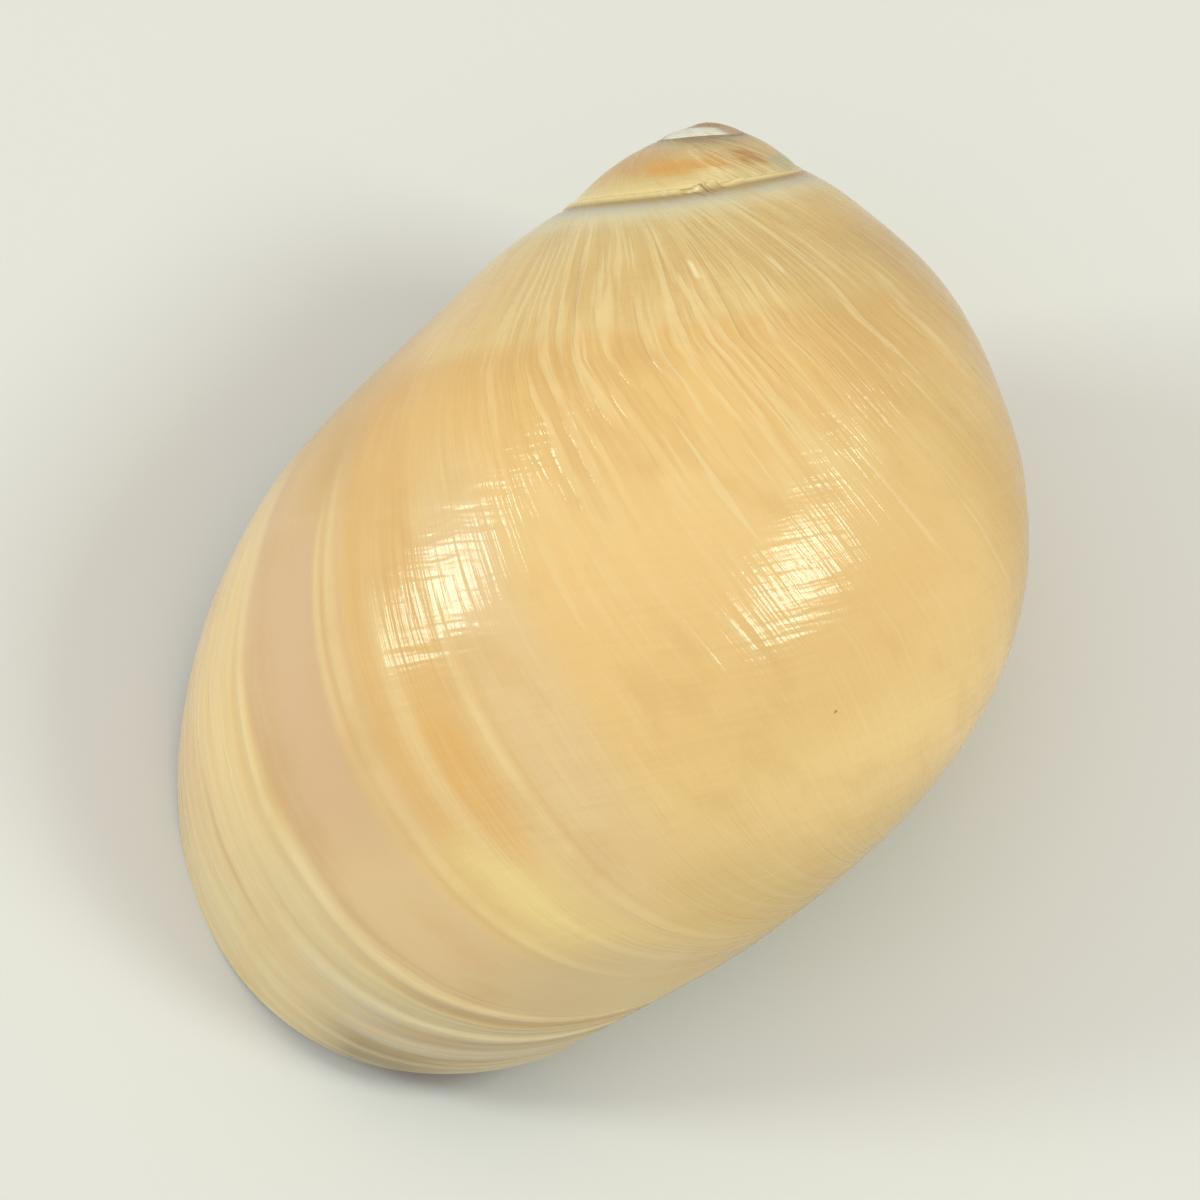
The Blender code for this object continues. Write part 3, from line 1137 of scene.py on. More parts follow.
@dataclass
class Nodes:
    """Shorthand for laying nodes in one tree."""

    tree: bpy.types.NodeTree

    def add(self, kind: str, **settings: object) -> bpy.types.Node:
        """Add a node.

        Args:
            kind: Blender's name of the node's type.
            **settings: Properties to set on it.

        Returns:
            The node.
        """
        node = self.tree.nodes.new(kind)
        for name, value in settings.items():
            setattr(node, name, value)
        return node

    def feed(self, socket: bpy.types.NodeSocket, value: object) -> None:
        """Link a socket to another, or set its value.

        Args:
            socket: The input socket.
            value: An output socket, a number or a colour.
        """
        if isinstance(value, bpy.types.NodeSocket):
            self.tree.links.new(value, socket)
        elif isinstance(value, tuple):
            socket.default_value = (*SCREEN.light(value), 1.0)
        else:
            socket.default_value = value

    def math(
        self, operation: str, first: object, second: object = 0.0, clamp: bool = False
    ) -> bpy.types.NodeSocket:
        """Work out one sum.

        Args:
            operation: Blender's name of the sum.
            first: First number.
            second: Second number.
            clamp: Whether to keep the result between 0 and 1.

        Returns:
            The result.
        """
        node = self.add("ShaderNodeMath", operation=operation, use_clamp=clamp)
        self.feed(node.inputs[0], first)
        self.feed(node.inputs[1], second)
        return node.outputs[0]

    def times(self, first: object, *others: object) -> bpy.types.NodeSocket:
        """Multiply numbers.

        Args:
            first: First number.
            *others: The other numbers.

        Returns:
            The product.
        """
        for other in others:
            first = self.math("MULTIPLY", first, other)
        return first

    def centred(self, value: object) -> bpy.types.NodeSocket:
        """Move values from 0 to 1 down to lie round 0."""
        return self.math("SUBTRACT", value, 0.5)

    def rise(self, value: object, low: float, high: float) -> bpy.types.NodeSocket:
        """Rise smoothly from 0 at low to 1 at high, or fall where low is above high.

        Args:
            value: The value to ease.
            low: Where the result is 0.
            high: Where the result is 1.

        Returns:
            The eased value.
        """
        if low < high:
            return self.change(value, low, high, 0.0, 1.0)
        return self.change(value, high, low, 1.0, 0.0)

    def change(
        self, value: object, low: object, high: object, below: object, above: object
    ) -> bpy.types.NodeSocket:
        """Go smoothly from one number to another as a value passes from low to high.

        Args:
            value: The value.
            low: Where the change starts.
            high: Where it ends.
            below: The number up to low.
            above: The number from high on.

        Returns:
            The changing number.
        """
        node = self.add("ShaderNodeMapRange", interpolation_type="SMOOTHSTEP")
        names = ("Value", "From Min", "From Max", "To Min", "To Max")
        for name, given in zip(names, (value, low, high, below, above)):
            self.feed(node.inputs[name], given)
        return node.outputs["Result"]

    def within(self, value: object, start: Span, stop: Span) -> bpy.types.NodeSocket:
        """Rise over the start and fall again over the stop.

        Args:
            value: The value to ease.
            start: Where the result starts to rise, and where it is 1.
            stop: Where the result is 0 again, and where it starts to fall.

        Returns:
            The eased value.
        """
        return self.times(self.rise(value, *start), self.rise(value, *stop))

    def vector(self, x: object, y: object, z: object) -> bpy.types.NodeSocket:
        """Make a vector of three numbers.

        Args:
            x: First number.
            y: Second number.
            z: Third number.

        Returns:
            The vector.
        """
        node = self.add("ShaderNodeCombineXYZ")
        for socket, value in zip(node.inputs, (x, y, z)):
            self.feed(socket, value)
        return node.outputs[0]

    def noise(
        self, where: bpy.types.NodeSocket, scale: object, detail: float
    ) -> bpy.types.NodeSocket:
        """Smooth random values from 0 to 1.

        Args:
            where: Place to read the noise at.
            scale: How closely the values change.
            detail: How many finer layers are added.

        Returns:
            The values.
        """
        node = self.add("ShaderNodeTexNoise", noise_dimensions="3D")
        self.feed(node.inputs["Vector"], where)
        self.feed(node.inputs["Scale"], scale)
        node.inputs["Detail"].default_value = detail
        return node.outputs["Fac"]

    def pattern(self, line: object, section: object, pattern: Pattern) -> bpy.types.NodeSocket:
        """Noise that is drawn out over the shell.

        Args:
            line: Growth line.
            section: Section share.
            pattern: The size and kind of the noise.

        Returns:
            Values from 0 to 1.
        """
        along = self.times(line, pattern.along)
        across = self.times(section, pattern.across)
        noise = self.noise(self.vector(along, across, pattern.seed), 1.0, pattern.detail)
        return self.rise(noise, *pattern.edges) if pattern.edges else noise

    def more(
        self, value: object, factor: object, start: object, clamp: bool = False
    ) -> bpy.types.NodeSocket:
        """Multiply a value and add the result to a start.

        Args:
            value: The value.
            factor: What to multiply it by.
            start: What to add to.
            clamp: Whether to keep the result between 0 and 1.

        Returns:
            The result.
        """
        node = self.add("ShaderNodeMath", operation="MULTIPLY_ADD", use_clamp=clamp)
        for socket, given in zip(node.inputs, (value, factor, start)):
            self.feed(socket, given)
        return node.outputs[0]

    def mix(self, share: object, first: object, second: object) -> bpy.types.NodeSocket:
        """Mix two colours.

        Args:
            share: Share of the second colour.
            first: First colour.
            second: Second colour.

        Returns:
            The mixed colour.
        """
        node = self.add("ShaderNodeMix", data_type="RGBA")
        self.feed(node.inputs["Factor"], share)
        self.feed(node.inputs["A"], first)
        self.feed(node.inputs["B"], second)
        return node.outputs["Result"]

    def run_of_colours(
        self, value: object, stops: Sequence[tuple[float, Colour]]
    ) -> bpy.types.NodeSocket:
        """Read a colour from a run of colours.

        Args:
            value: Place in the run.
            stops: Places and their colours, in rising order from 0.

        Returns:
            The colour.
        """
        reach = stops[-1][0]
        node = self.add("ShaderNodeValToRGB")
        elements = node.color_ramp.elements
        for place, _ in stops[2:]:
            elements.new(place / reach)
        for element, (place, colour) in zip(elements, stops):
            element.position = place / reach
            element.color = (*SCREEN.light(colour), 1.0)
        self.feed(node.inputs["Fac"], self.math("DIVIDE", value, reach))
        return node.outputs["Color"]

    def group(self, tree: bpy.types.NodeTree, **inputs: object) -> bpy.types.Node:
        """Place a node group.

        Args:
            tree: The group.
            **inputs: Values for its inputs, with underscores for spaces.

        Returns:
            The group's node.
        """
        node = self.add("ShaderNodeGroup", node_tree=tree)
        for name, value in inputs.items():
            self.feed(node.inputs[name.replace("_", " ").title()], value)
        return node


@dataclass
class Group:
    """A shader node group whose sockets are all numbers."""

    name: str
    inputs: tuple[str, ...]
    output: str

    def __post_init__(self) -> None:
        """Start the group, with its sockets."""
        self.tree = bpy.data.node_groups.new(self.name, "ShaderNodeTree")
        sockets = [(name, "INPUT") for name in self.inputs] + [(self.output, "OUTPUT")]
        for name, side in sockets:
            self.tree.interface.new_socket(name, in_out=side, socket_type="NodeSocketFloat")
        self.nodes = Nodes(self.tree)
        self.given = self.nodes.add("NodeGroupInput").outputs

    def finish(self, value: bpy.types.NodeSocket) -> bpy.types.NodeTree:
        """Put a value out.

        Args:
            value: The value.

        Returns:
            The group's tree.
        """
        self.nodes.feed(self.nodes.add("NodeGroupOutput").inputs[self.output], value)
        return self.tree


def band_group() -> bpy.types.NodeTree:
    """Make the group that masks a band between two ages and two sections, with soft edges.

    Returns:
        The group's tree.
    """
    places = ("Age", "Section", "Start", "Stop", "Top", "Bottom")
    group = Group("band", (*places, "Age Blur", "Section Blur", "Strength"), "Mask")
    nodes, given = group.nodes, group.given
    edges = (
        ("Age", "Start", "Age Blur", given["Strength"], 0.0),
        ("Age", "Stop", "Age Blur", 0.0, 1.0),
        ("Section", "Top", "Section Blur", 1.0, 0.0),
        ("Section", "Bottom", "Section Blur", 0.0, 1.0),
    )
    masks = []
    for value, edge, blur, above, below in edges:
        low = nodes.more(given[blur], -0.5, given[edge])
        high = nodes.more(given[blur], 0.5, given[edge])
        masks.append(nodes.change(given[value], low, high, below, above))
    return group.finish(nodes.times(*masks))


@dataclass(frozen=True)
class Grain:
    """Fine growth lines crossed by fine spiral lines."""

    waver: Pattern = Pattern(11.0, 16.0, 2.0, 5.3)
    age_waver: float = 0.012
    section_waver: float = 0.006
    growth_lines: Pattern = Pattern(46.0, 4.5, 2.5, 1.7)
    fine_growth_lines: Pattern = Pattern(110.0, 11.0, 1.0, 4.1)
    spiral_lines: Pattern = Pattern(3.2, 60.0, 1.5, 8.3)
    fine_spiral_lines: Pattern = Pattern(9.0, 140.0, 1.0, 3.9)
    fine_share: float = 0.45

    def group(self) -> bpy.types.NodeTree:
        """Make the group, which puts out heights.

        Returns:
            The group's tree.
        """
        group = Group("grain", ("Age", "Section", "Growth Lines", "Spiral Lines"), "Height")
        nodes, given = group.nodes, group.given
        age, section = given["Age"], given["Section"]
        waver = nodes.centred(nodes.pattern(age, section, self.waver))
        age = nodes.more(waver, self.age_waver, age)
        section = nodes.more(waver, self.section_waver, section)
        kinds = (
            (self.growth_lines, self.fine_growth_lines, given["Growth Lines"]),
            (self.spiral_lines, self.fine_spiral_lines, given["Spiral Lines"]),
        )
        height: object = 0.0
        for coarse, fine, depth in kinds:
            both = nodes.pattern(age, section, coarse)
            both = nodes.more(nodes.pattern(age, section, fine), self.fine_share, both)
            height = nodes.more(both, depth, height)
        return group.finish(height)


@dataclass(frozen=True)
class Mottle:
    """Soft cloudy variation round a middle of one half."""

    detail: float = 3.0

    def group(self) -> bpy.types.NodeTree:
        """Make the group, which puts out a mask.

        Returns:
            The group's tree.
        """
        group = Group("mottle", ("Scale", "Depth"), "Mask")
        nodes, given = group.nodes, group.given
        where = nodes.add("ShaderNodeNewGeometry").outputs["Position"]
        clouds = nodes.centred(nodes.noise(where, given["Scale"], self.detail))
        return group.finish(nodes.more(clouds, given["Depth"], 0.5, clamp=True))


def new_material(name: str) -> tuple[bpy.types.Material, Nodes, bpy.types.Node]:
    """Start a material.

    Args:
        name: Its name.

    Returns:
        The material, its nodes and its shader.
    """
    material = bpy.data.materials.new(name)
    material.use_nodes = True
    return material, Nodes(material.node_tree), material.node_tree.nodes["Principled BSDF"]


@dataclass(frozen=True)
class SharedEffects:
    """The node groups that more than one glaze uses."""

    band: bpy.types.NodeTree
    grain: bpy.types.NodeTree
    mottle: bpy.types.NodeTree

    @classmethod
    def make(cls) -> "SharedEffects":
        """Make each group once."""
        return cls(band_group(), Grain().group(), Mottle().group())


@dataclass(frozen=True)
class ShellPlace:
    """Sockets that tell a material where it is on the shell."""

    line: bpy.types.NodeSocket
    section: bpy.types.NodeSocket
    age: bpy.types.NodeSocket
    ridge_tone_and_shade: bpy.types.NodeSocket

    @classmethod
    def read(cls, nodes: Nodes) -> "ShellPlace":
        """Lay the nodes that read the shell's places.

        Args:
            nodes: The material's nodes.

        Returns:
            The sockets.
        """
        place = nodes.add("ShaderNodeAttribute", attribute_name=PLACE_NAME)
        parts = nodes.add("ShaderNodeSeparateXYZ")
        nodes.feed(parts.inputs[0], place.outputs["Vector"])
        ridge_tone_and_shade = nodes.add("ShaderNodeAttribute", attribute_name=RIDGE_TONE_AND_SHADE_NAME)
        line, section, age = parts.outputs
        return cls(line, section, age, ridge_tone_and_shade.outputs["Fac"])


@dataclass(frozen=True)
class GrowthBand:
    """A band of colour, where it lies and how strong it is: most are stains laid down while the shell
    grew, some are painted shade or painted light, some partly both.
    """

    name: str
    colour: Colour
    start: float
    stop: float
    top: float
    bottom: float
    strength: float
    age_blur: float = 0.05
    section_blur: float = 0.10


@dataclass(frozen=True)
class GrowthMarks:
    """Sockets of the growth lines that a material draws: from -0.5 to 0.5, and from 0 to 1."""

    lines: bpy.types.NodeSocket
    strays: bpy.types.NodeSocket


@dataclass(frozen=True)
class Glaze:
    """What both glazes share: their gloss, how it is worn, and the depth of their fine lines."""

    effects: SharedEffects
    gloss: float = 0.18
    worn_gloss: float = 0.10
    line_depth: float = 0.000040

    def surface(
        self,
        nodes: Nodes,
        shader: bpy.types.Node,
        height: bpy.types.NodeSocket,
        worn: bpy.types.NodeSocket,
    ) -> None:
        """Feed the fine lines and the gloss.

        Args:
            nodes: The material's nodes.
            shader: Its shader.
            height: Height of the fine lines, against their depth.
            worn: How worn the gloss is, from 0 to 1.
        """
        bump = nodes.add("ShaderNodeBump")
        bump.inputs["Strength"].default_value = 1.0
        bump.inputs["Distance"].default_value = self.line_depth
        nodes.feed(bump.inputs["Height"], height)
        nodes.feed(shader.inputs["Normal"], bump.outputs["Normal"])
        roughness = nodes.more(worn, self.worn_gloss, self.gloss - self.worn_gloss / 2)
        nodes.feed(shader.inputs["Roughness"], roughness)


@dataclass(frozen=True)
class OutsideGlaze(Glaze):
    """The golden outside, with its seam, bands, streaks and fine lines."""

    shine: float = 0.45
    section_colours: tuple[tuple[float, Colour], ...] = (
        (0.0000, (204, 178, 120)),
        # The cord along the seam: its crest stops are its own cream with a painted highlight, and the
        # dark stop at 0.0105 is a painted shadow under it.
        (0.0030, (240, 220, 158)),
        (0.0065, (238, 217, 154)),
        (0.0105, (156, 126, 78)),
        (0.0150, (184, 166, 134)),
        (0.024, (205, 194, 166)),
        (0.036, (223, 208, 164)),
        (0.060, (222, 194, 133)),
        (0.120, (225, 189, 123)),
        (0.208, (230, 195, 129)),
        (0.230, (227, 184, 114)),
        (0.300, (233, 191, 121)),
        (0.420, (236, 198, 131)),
        (0.560, (234, 194, 127)),
        (0.680, (235, 196, 128)),
        (0.740, (241, 205, 137)),
        (0.800, (238, 202, 138)),
        (0.870, (227, 194, 131)),
        (1.000, (212, 188, 130)),
        (1.100, (226, 212, 184)),
        (1.250, (236, 228, 212)),
    )
    spire_colours: tuple[tuple[float, Colour], ...] = (
        # The dark first stops are painted shade just under the suture.
        (0.000, (156, 134, 102)),
        (0.014, (172, 152, 118)),
        (0.040, (200, 176, 130)),
        (0.085, (216, 184, 124)),
        (0.150, (220, 184, 120)),
        (0.190, (220, 192, 130)),
        (0.222, (228, 204, 144)),
        (0.232, (240, 216, 152)),
        (0.241, (222, 196, 138)),
    )
    bands: tuple[GrowthBand, ...] = (
        GrowthBand("rosy lip", (224, 194, 146), -0.1, 0.31, 0.34, 0.68, 0.6, 0.10, 0.12),
        GrowthBand("cream by lip", (238, 208, 150), 0.30, 0.53, 0.36, 0.66, 0.7, 0.06, 0.12),
        GrowthBand("pale wedge", (220, 204, 158), -0.1, 0.52, 0.66, 1.10, 0.80, 0.08, 0.16),
        GrowthBand("grey foot", (196, 187, 168), -0.1, 0.38, 0.84, 1.10, 0.60, 0.12, 0.12),
        # Painted shade along the lower edge by the lip.
        GrowthBand("painted shade at lip edge", (140, 126, 94), -0.1, 0.185, 0.86, 0.97, 0.75, 0.05, 0.07),
        # Painted shade in the foot's furrows, and on its crest a paler colour with painted light.
        GrowthBand("painted shade in foot furrow", (160, 148, 120), 0.425, 0.472, 0.87, 1.04, 0.62, 0.040, 0.08),
        GrowthBand("pale foot crest with painted light", (226, 214, 178), 0.320, 0.360, 0.80, 1.04, 0.55, 0.030, 0.08),
        GrowthBand("painted shade in foot hollow", (160, 148, 120), 0.262, 0.312, 0.90, 1.04, 0.60, 0.040, 0.08),
        GrowthBand("foot slope", (196, 182, 148), 0.375, 0.425, 0.90, 1.04, 0.45, 0.030, 0.08),
        # Pale crest: partly the ridge's own paler colour, partly painted light on its crest.
        GrowthBand("pale crest with painted light", (240, 218, 168), 0.475, 0.515, 0.66, 0.93, 0.70, 0.026, 0.10),
        GrowthBand("lip line", (190, 152, 104), 0.250, 0.262, 0.60, 0.74, 0.40, 0.014, 0.12),
        GrowthBand("lip ridge line", (240, 212, 156), 0.268, 0.286, 0.56, 0.76, 0.45, 0.014, 0.10),
        GrowthBand("lilac band", (219, 182, 138), 0.52, 0.78, 0.38, 0.72, 0.90, 0.05, 0.14),
        GrowthBand("lilac foot", (226, 196, 150), 0.50, 0.78, 0.70, 0.90, 0.65, 0.06, 0.12),
        GrowthBand("lilac heart", (224, 188, 146), 0.60, 0.76, 0.42, 0.70, 0.50, 0.10, 0.12),
        GrowthBand("rosy edge", (216, 174, 126), 0.53, 0.60, 0.34, 0.70, 0.4, 0.04, 0.14),
        GrowthBand("peach strip", (230, 194, 144), 0.78, 0.87, 0.24, 0.74, 0.65, 0.04, 0.10),
        GrowthBand("orange band", (228, 184, 118), 0.86, 1.08, 0.22, 0.73, 0.70, 0.04, 0.08),
        GrowthBand("pale stripe", (236, 200, 140), 0.915, 0.970, 0.42, 0.74, 0.70, 0.03, 0.10),
        GrowthBand("orange spot", (230, 172, 92), 0.98, 1.05, 0.60, 0.72, 0.50, 0.05, 0.10),
        GrowthBand("yellow spot", (240, 212, 144), 0.82, 1.06, 0.74, 0.88, 0.60, 0.08, 0.09),
        GrowthBand("yellow heart", (248, 222, 146), 0.90, 0.97, 0.73, 0.84, 0.70, 0.05, 0.06),
        GrowthBand("lilac haze", (229, 197, 150), 1.10, 1.34, 0.36, 0.80, 0.60, 0.14, 0.16),
        GrowthBand("pale haze", (236, 206, 152), 1.02, 1.22, 0.68, 0.84, 0.50, 0.08, 0.10),
        GrowthBand("greenish foot", (214, 194, 156), 0.46, 1.04, 0.88, 1.04, 0.50, 0.20, 0.08),
        # Brown foot: partly the shell's own colour, partly painted shade on the underside.
        GrowthBand("brown foot with painted shade", (208, 177, 112), 1.25, 5.0, 0.86, 1.04, 0.50, 0.40, 0.12),
        # Painted shade: the shoulder darker where it turns away on the lip side.
        GrowthBand("painted shade on shoulder", (186, 142, 70), 0.40, 0.86, 0.12, 0.38, 0.50, 0.20, 0.14),
        # Older side: partly the shell's own colour, partly painted shade where the whorl turns away.
        GrowthBand("older side with painted shade", (212, 176, 112), 2.75, 5.4, 0.04, 0.90, 0.45, 0.70, 0.08),
        GrowthBand("pale fleck", (250, 232, 184), 2.30, 2.325, 0.10, 0.135, 0.8, 0.014, 0.016),
        GrowthBand("long fleck", (242, 222, 176), 2.80, 2.84, 0.13, 0.17, 0.6, 0.02, 0.02),
        GrowthBand("dark speck", (120, 104, 62), 1.874, 1.884, 0.688, 0.692, 0.8, 0.006, 0.003),
    )
    spire_bands: tuple[GrowthBand, ...] = (
        GrowthBand("warm slope", (206, 158, 96), 6.3, 8.05, 0.06, 0.17, 0.70, 0.50, 0.07),
        GrowthBand("wide orange", (222, 164, 80), 7.80, 8.66, 0.118, 0.184, 0.88, 0.24, 0.05),
        # Painted shadow just under the spire's suture.
        GrowthBand("painted shadow under seam", (168, 144, 100), 8.35, 9.30, -0.1, 0.050, 0.75, 0.20, 0.03),
        GrowthBand("pale streak", (236, 206, 144), 8.36, 8.44, 0.07, 0.13, 0.7, 0.10, 0.04),
        GrowthBand("small orange", (192, 138, 60), 8.86, 9.14, 0.104, 0.186, 1.00, 0.12, 0.050),
        # Painted shadows in the folds where the cord is broken.
        GrowthBand("painted shadow in first notch", (150, 118, 78), 2.655, 2.680, 0.000, 0.013, 0.75, 0.020, 0.006),
        GrowthBand("painted shadow in second notch", (144, 112, 74), 2.755, 2.775, -0.002, 0.010, 0.80, 0.020, 0.006),
        GrowthBand("painted shadow in third notch", (150, 118, 78), 2.830, 2.850, 0.003, 0.016, 0.75, 0.018, 0.006),
        GrowthBand("painted shadow in fourth notch", (156, 124, 82), 2.925, 2.945, 0.000, 0.012, 0.70, 0.018, 0.006),
        # Far shoulder and far side: partly the shell's own colour, partly painted shade where the whorl
        # turns away.
        GrowthBand("far shoulder with painted shade", (188, 148, 76), 3.04, 5.4, 0.12, 0.42, 0.60, 0.30, 0.10),
        GrowthBand("far side with painted shade", (200, 154, 72), 2.66, 5.4, 0.40, 0.95, 0.45, 0.30, 0.14),
        GrowthBand("warm brow", (212, 156, 72), 0.68, 0.98, 0.20, 0.30, 0.48, 0.12, 0.10),
        GrowthBand("pale corner", (236, 212, 154), 8.30, 8.62, 0.17, 0.235, 0.7, 0.16, 0.03),
        GrowthBand("grey slope", (186, 172, 132), 9.16, 10.4, 0.150, 0.235, 0.85, 0.12, 0.04),
        GrowthBand("tan top", (200, 170, 130), 12.3, 40.0, -0.1, 0.40, 0.9, 0.3, 0.05),
        GrowthBand("white whorl", (246, 244, 228), 13.20, 15.10, 0.075, 0.300, 0.97, 0.36, 0.055),
    )
    drift: Pattern = Pattern(3.5, 5.0, 2.0, 6.4)
    steady_seam: Span = (0.03, 0.12)
    section_waver: float = 0.020
    band_waver: Span = (0.07, 0.14)
    spire_waver: Span = (0.25, 0.05)
    spire_from: Span = (4.4, 5.4)
    ragged_edge: float = 0.020
    cream: Colour = (244, 219, 162)
    tan: Colour = (214, 170, 104)
    # How far crests go cream and furrows tan: partly own tone, partly painted light and shade.
    ridge_tone_and_shade_strengths: Span = (0.80, 0.85)
    plain_seam: Span = (0.02, 0.07)
    fine_streaks: Pattern = Pattern(60.0, 5.0, 2.0, 9.1, (0.50, 0.72))
    fine_streak_depth: float = 0.14
    spiral_bands: Pattern = Pattern(0.7, 26.0, 2.0, 5.9, (0.50, 0.75))
    spiral_band_depth: float = 0.06
    clouds: Pattern = Pattern(6.0, 10.0, 4.0, 2.7, (0.50, 0.72))
    cloud_depth: float = 0.28
    line_waver: Pattern = Pattern(7.0, 9.0, 2.0, 1.1)
    line_sway: float = 0.06
    broad_lines: Pattern = Pattern(15.0, 5.0, 3.0, 7.7, (0.43, 0.57))
    close_lines: Pattern = Pattern(36.0, 8.0, 2.0, 3.3, (0.42, 0.58))
    shoulder_ages: tuple[Span, Span] = ((1.15, 1.65), (5.6, 5.0))
    shoulder_sections: tuple[Span, Span] = ((0.02, 0.06), (0.52, 0.28))
    shoulder_tints: Span = (0.90, 0.75)
    shoulder_rise: float = 1.25
    faded_from: Span = (2.5, 3.2)
    faded_share: float = 0.55
    wrinkled_ages: tuple[Span, Span] = ((8.2, 8.5), (9.6, 9.1))
    stray_lines: Pattern = Pattern(26.0, 4.0, 1.0, 12.3, (0.66, 0.72))
    stray_from: Span = (1.2, 1.6)
    stray_sections: tuple[Span, Span] = ((0.22, 0.32), (0.70, 0.50))
    # Cream on the thin stray ridges: partly paler colour, partly a painted highlight on their crests.
    stray_tint_and_highlight: float = 0.45
    stray_rise: float = 0.35
    lip_lines: Pattern = Pattern(34.0, 3.0, 2.5, 15.9, (0.34, 0.66))
    lip_line_until: Span = (0.62, 0.50)
    lip_line_sections: Span = (0.38, 0.60)
    lip_line_strength: float = 0.55
    smooth_lip: Span = (0.78, 1.0)
    growth_grain: Span = (0.75, 0.30)
    spiral_grain: Span = (0.85, 0.45)
    brown_from: Span = (15.1, 16.6)
    brown: Colour = (204, 152, 104)
    worn: Pattern = Pattern(9.0, 9.0, 3.0, 2.2)

    def dress(self) -> bpy.types.Material:
        """Make the material.

        Returns:
            The material.
        """
        material, nodes, shader = new_material("outside_glaze")
        shader.inputs["Specular IOR Level"].default_value = self.shine
        place = ShellPlace.read(nodes)
        marks = self.marked(nodes, place)
        colour = self.streaked(nodes, place, marks, self.banded(nodes, place, marks))
        colour = nodes.mix(nodes.rise(place.age, *self.brown_from), colour, self.brown)
        nodes.feed(shader.inputs["Base Color"], colour)
        grain = nodes.group(
            self.effects.grain,
            age=place.line,
            section=place.section,
            growth_lines=nodes.more(nodes.rise(place.line, *self.smooth_lip), *self.growth_grain),
            spiral_lines=nodes.more(nodes.rise(place.line, *self.smooth_lip), *self.spiral_grain),
        )
        height = nodes.more(marks.lines, self.shoulder_rise, grain.outputs["Height"])
        height = nodes.more(marks.strays, self.stray_rise, height)
        self.surface(nodes, shader, height, nodes.pattern(place.line, place.section, self.worn))
        return material

    def marked(self, nodes: Nodes, place: ShellPlace) -> GrowthMarks:
        """Draw the close growth lines of the shoulder, and the thin stray ridges below them.

        Args:
            nodes: The material's nodes.
            place: Where the material is on the shell.

        Returns:
            The marks.
        """
        section = place.section
        start, stop = self.shoulder_ages
        faded = nodes.times(nodes.rise(place.age, *self.faded_from), -self.faded_share)
        older = nodes.times(nodes.rise(place.line, *start), nodes.rise(place.age, *stop))
        older = nodes.times(older, nodes.math("ADD", faded, 1.0))
        wrinkled = nodes.within(place.age, *self.wrinkled_ages)
        upper = nodes.within(section, *self.shoulder_sections)
        where = nodes.times(nodes.math("MAXIMUM", older, wrinkled), upper)
        waver = nodes.centred(nodes.pattern(place.line, section, self.line_waver))
        line = nodes.more(waver, self.line_sway, place.line)
        broad = nodes.pattern(line, section, self.broad_lines)
        close = nodes.pattern(line, section, self.close_lines)
        lines = nodes.centred(nodes.more(close, 0.5, nodes.times(broad, 0.5)))
        by_lip = nodes.times(
            nodes.rise(place.line, *self.lip_line_until),
            nodes.rise(section, *self.lip_line_sections),
            self.lip_line_strength,
        )
        young = nodes.times(nodes.centred(nodes.pattern(line, section, self.lip_lines)), by_lip)
        strays = nodes.times(
            nodes.pattern(place.line, section, self.stray_lines),
            nodes.within(section, *self.stray_sections),
            nodes.rise(place.line, *self.stray_from),
            older,
        )
        return GrowthMarks(nodes.more(lines, where, young), strays)

    def banded(self, nodes: Nodes, place: ShellPlace, marks: GrowthMarks) -> bpy.types.NodeSocket:
        """Colour by section, then lay each growth band over it.

        Args:
            nodes: The material's nodes.
            place: Where the material is on the shell.
            marks: The growth lines drawn on it.

        Returns:
            The colour.
        """
        drift = nodes.centred(nodes.pattern(place.line, place.section, self.drift))
        below_seam = nodes.rise(place.section, *self.steady_seam)
        wavering = nodes.more(nodes.times(drift, below_seam), self.section_waver, place.section)
        ragged = nodes.times(marks.lines, below_seam)
        wavering = nodes.more(ragged, self.ragged_edge, wavering)
        body = nodes.run_of_colours(wavering, self.section_colours)
        spire = nodes.run_of_colours(place.section, self.spire_colours)
        colour = nodes.mix(nodes.rise(place.age, *self.spire_from), body, spire)
        kinds = (
            (self.bands, place.line, self.band_waver),
            (self.spire_bands, place.age, self.spire_waver),
        )
        for bands, age, (age_waver, section_waver) in kinds:
            roving_age = nodes.more(drift, age_waver, age)
            roving_section = nodes.more(drift, section_waver, place.section)
            for band in bands:
                mask = nodes.group(
                    self.effects.band,
                    age=roving_age,
                    section=roving_section,
                    start=band.start,
                    stop=band.stop,
                    top=band.top,
                    bottom=band.bottom,
                    age_blur=band.age_blur,
                    section_blur=band.section_blur,
                    strength=band.strength,
                ).outputs["Mask"]
                colour = nodes.mix(mask, colour, band.colour)
        return colour

    def streaked(
        self,
        nodes: Nodes,
        place: ShellPlace,
        marks: GrowthMarks,
        colour: bpy.types.NodeSocket,
    ) -> bpy.types.NodeSocket:
        """Tint the ridges cream and the furrows tan, partly the shell's own tone and partly painted
        light on crests and painted shade in furrows, tint the stray ridges cream, partly a painted
        highlight, and lay fine streaks and clouds over all.

        Args:
            nodes: The material's nodes.
            place: Where the material is on the shell.
            marks: The growth lines drawn on it.
            colour: The colour so far.

        Returns:
            The colour.
        """
        where = (place.line, place.section)
        away = nodes.rise(place.section, *self.plain_seam)
        kinds = (
            # Crests paler and furrows darker by the relief: partly own tone, partly painted light and
            # painted shade.
            (nodes.times(place.ridge_tone_and_shade, away), self.ridge_tone_and_shade_strengths),
            (marks.lines, self.shoulder_tints),
        )
        for mark, (cream, tan) in kinds:
            paler = nodes.math("MULTIPLY", mark, cream, clamp=True)
            darker = nodes.math("MULTIPLY", mark, -tan, clamp=True)
            colour = nodes.mix(paler, colour, self.cream)
            colour = nodes.mix(darker, colour, self.tan)
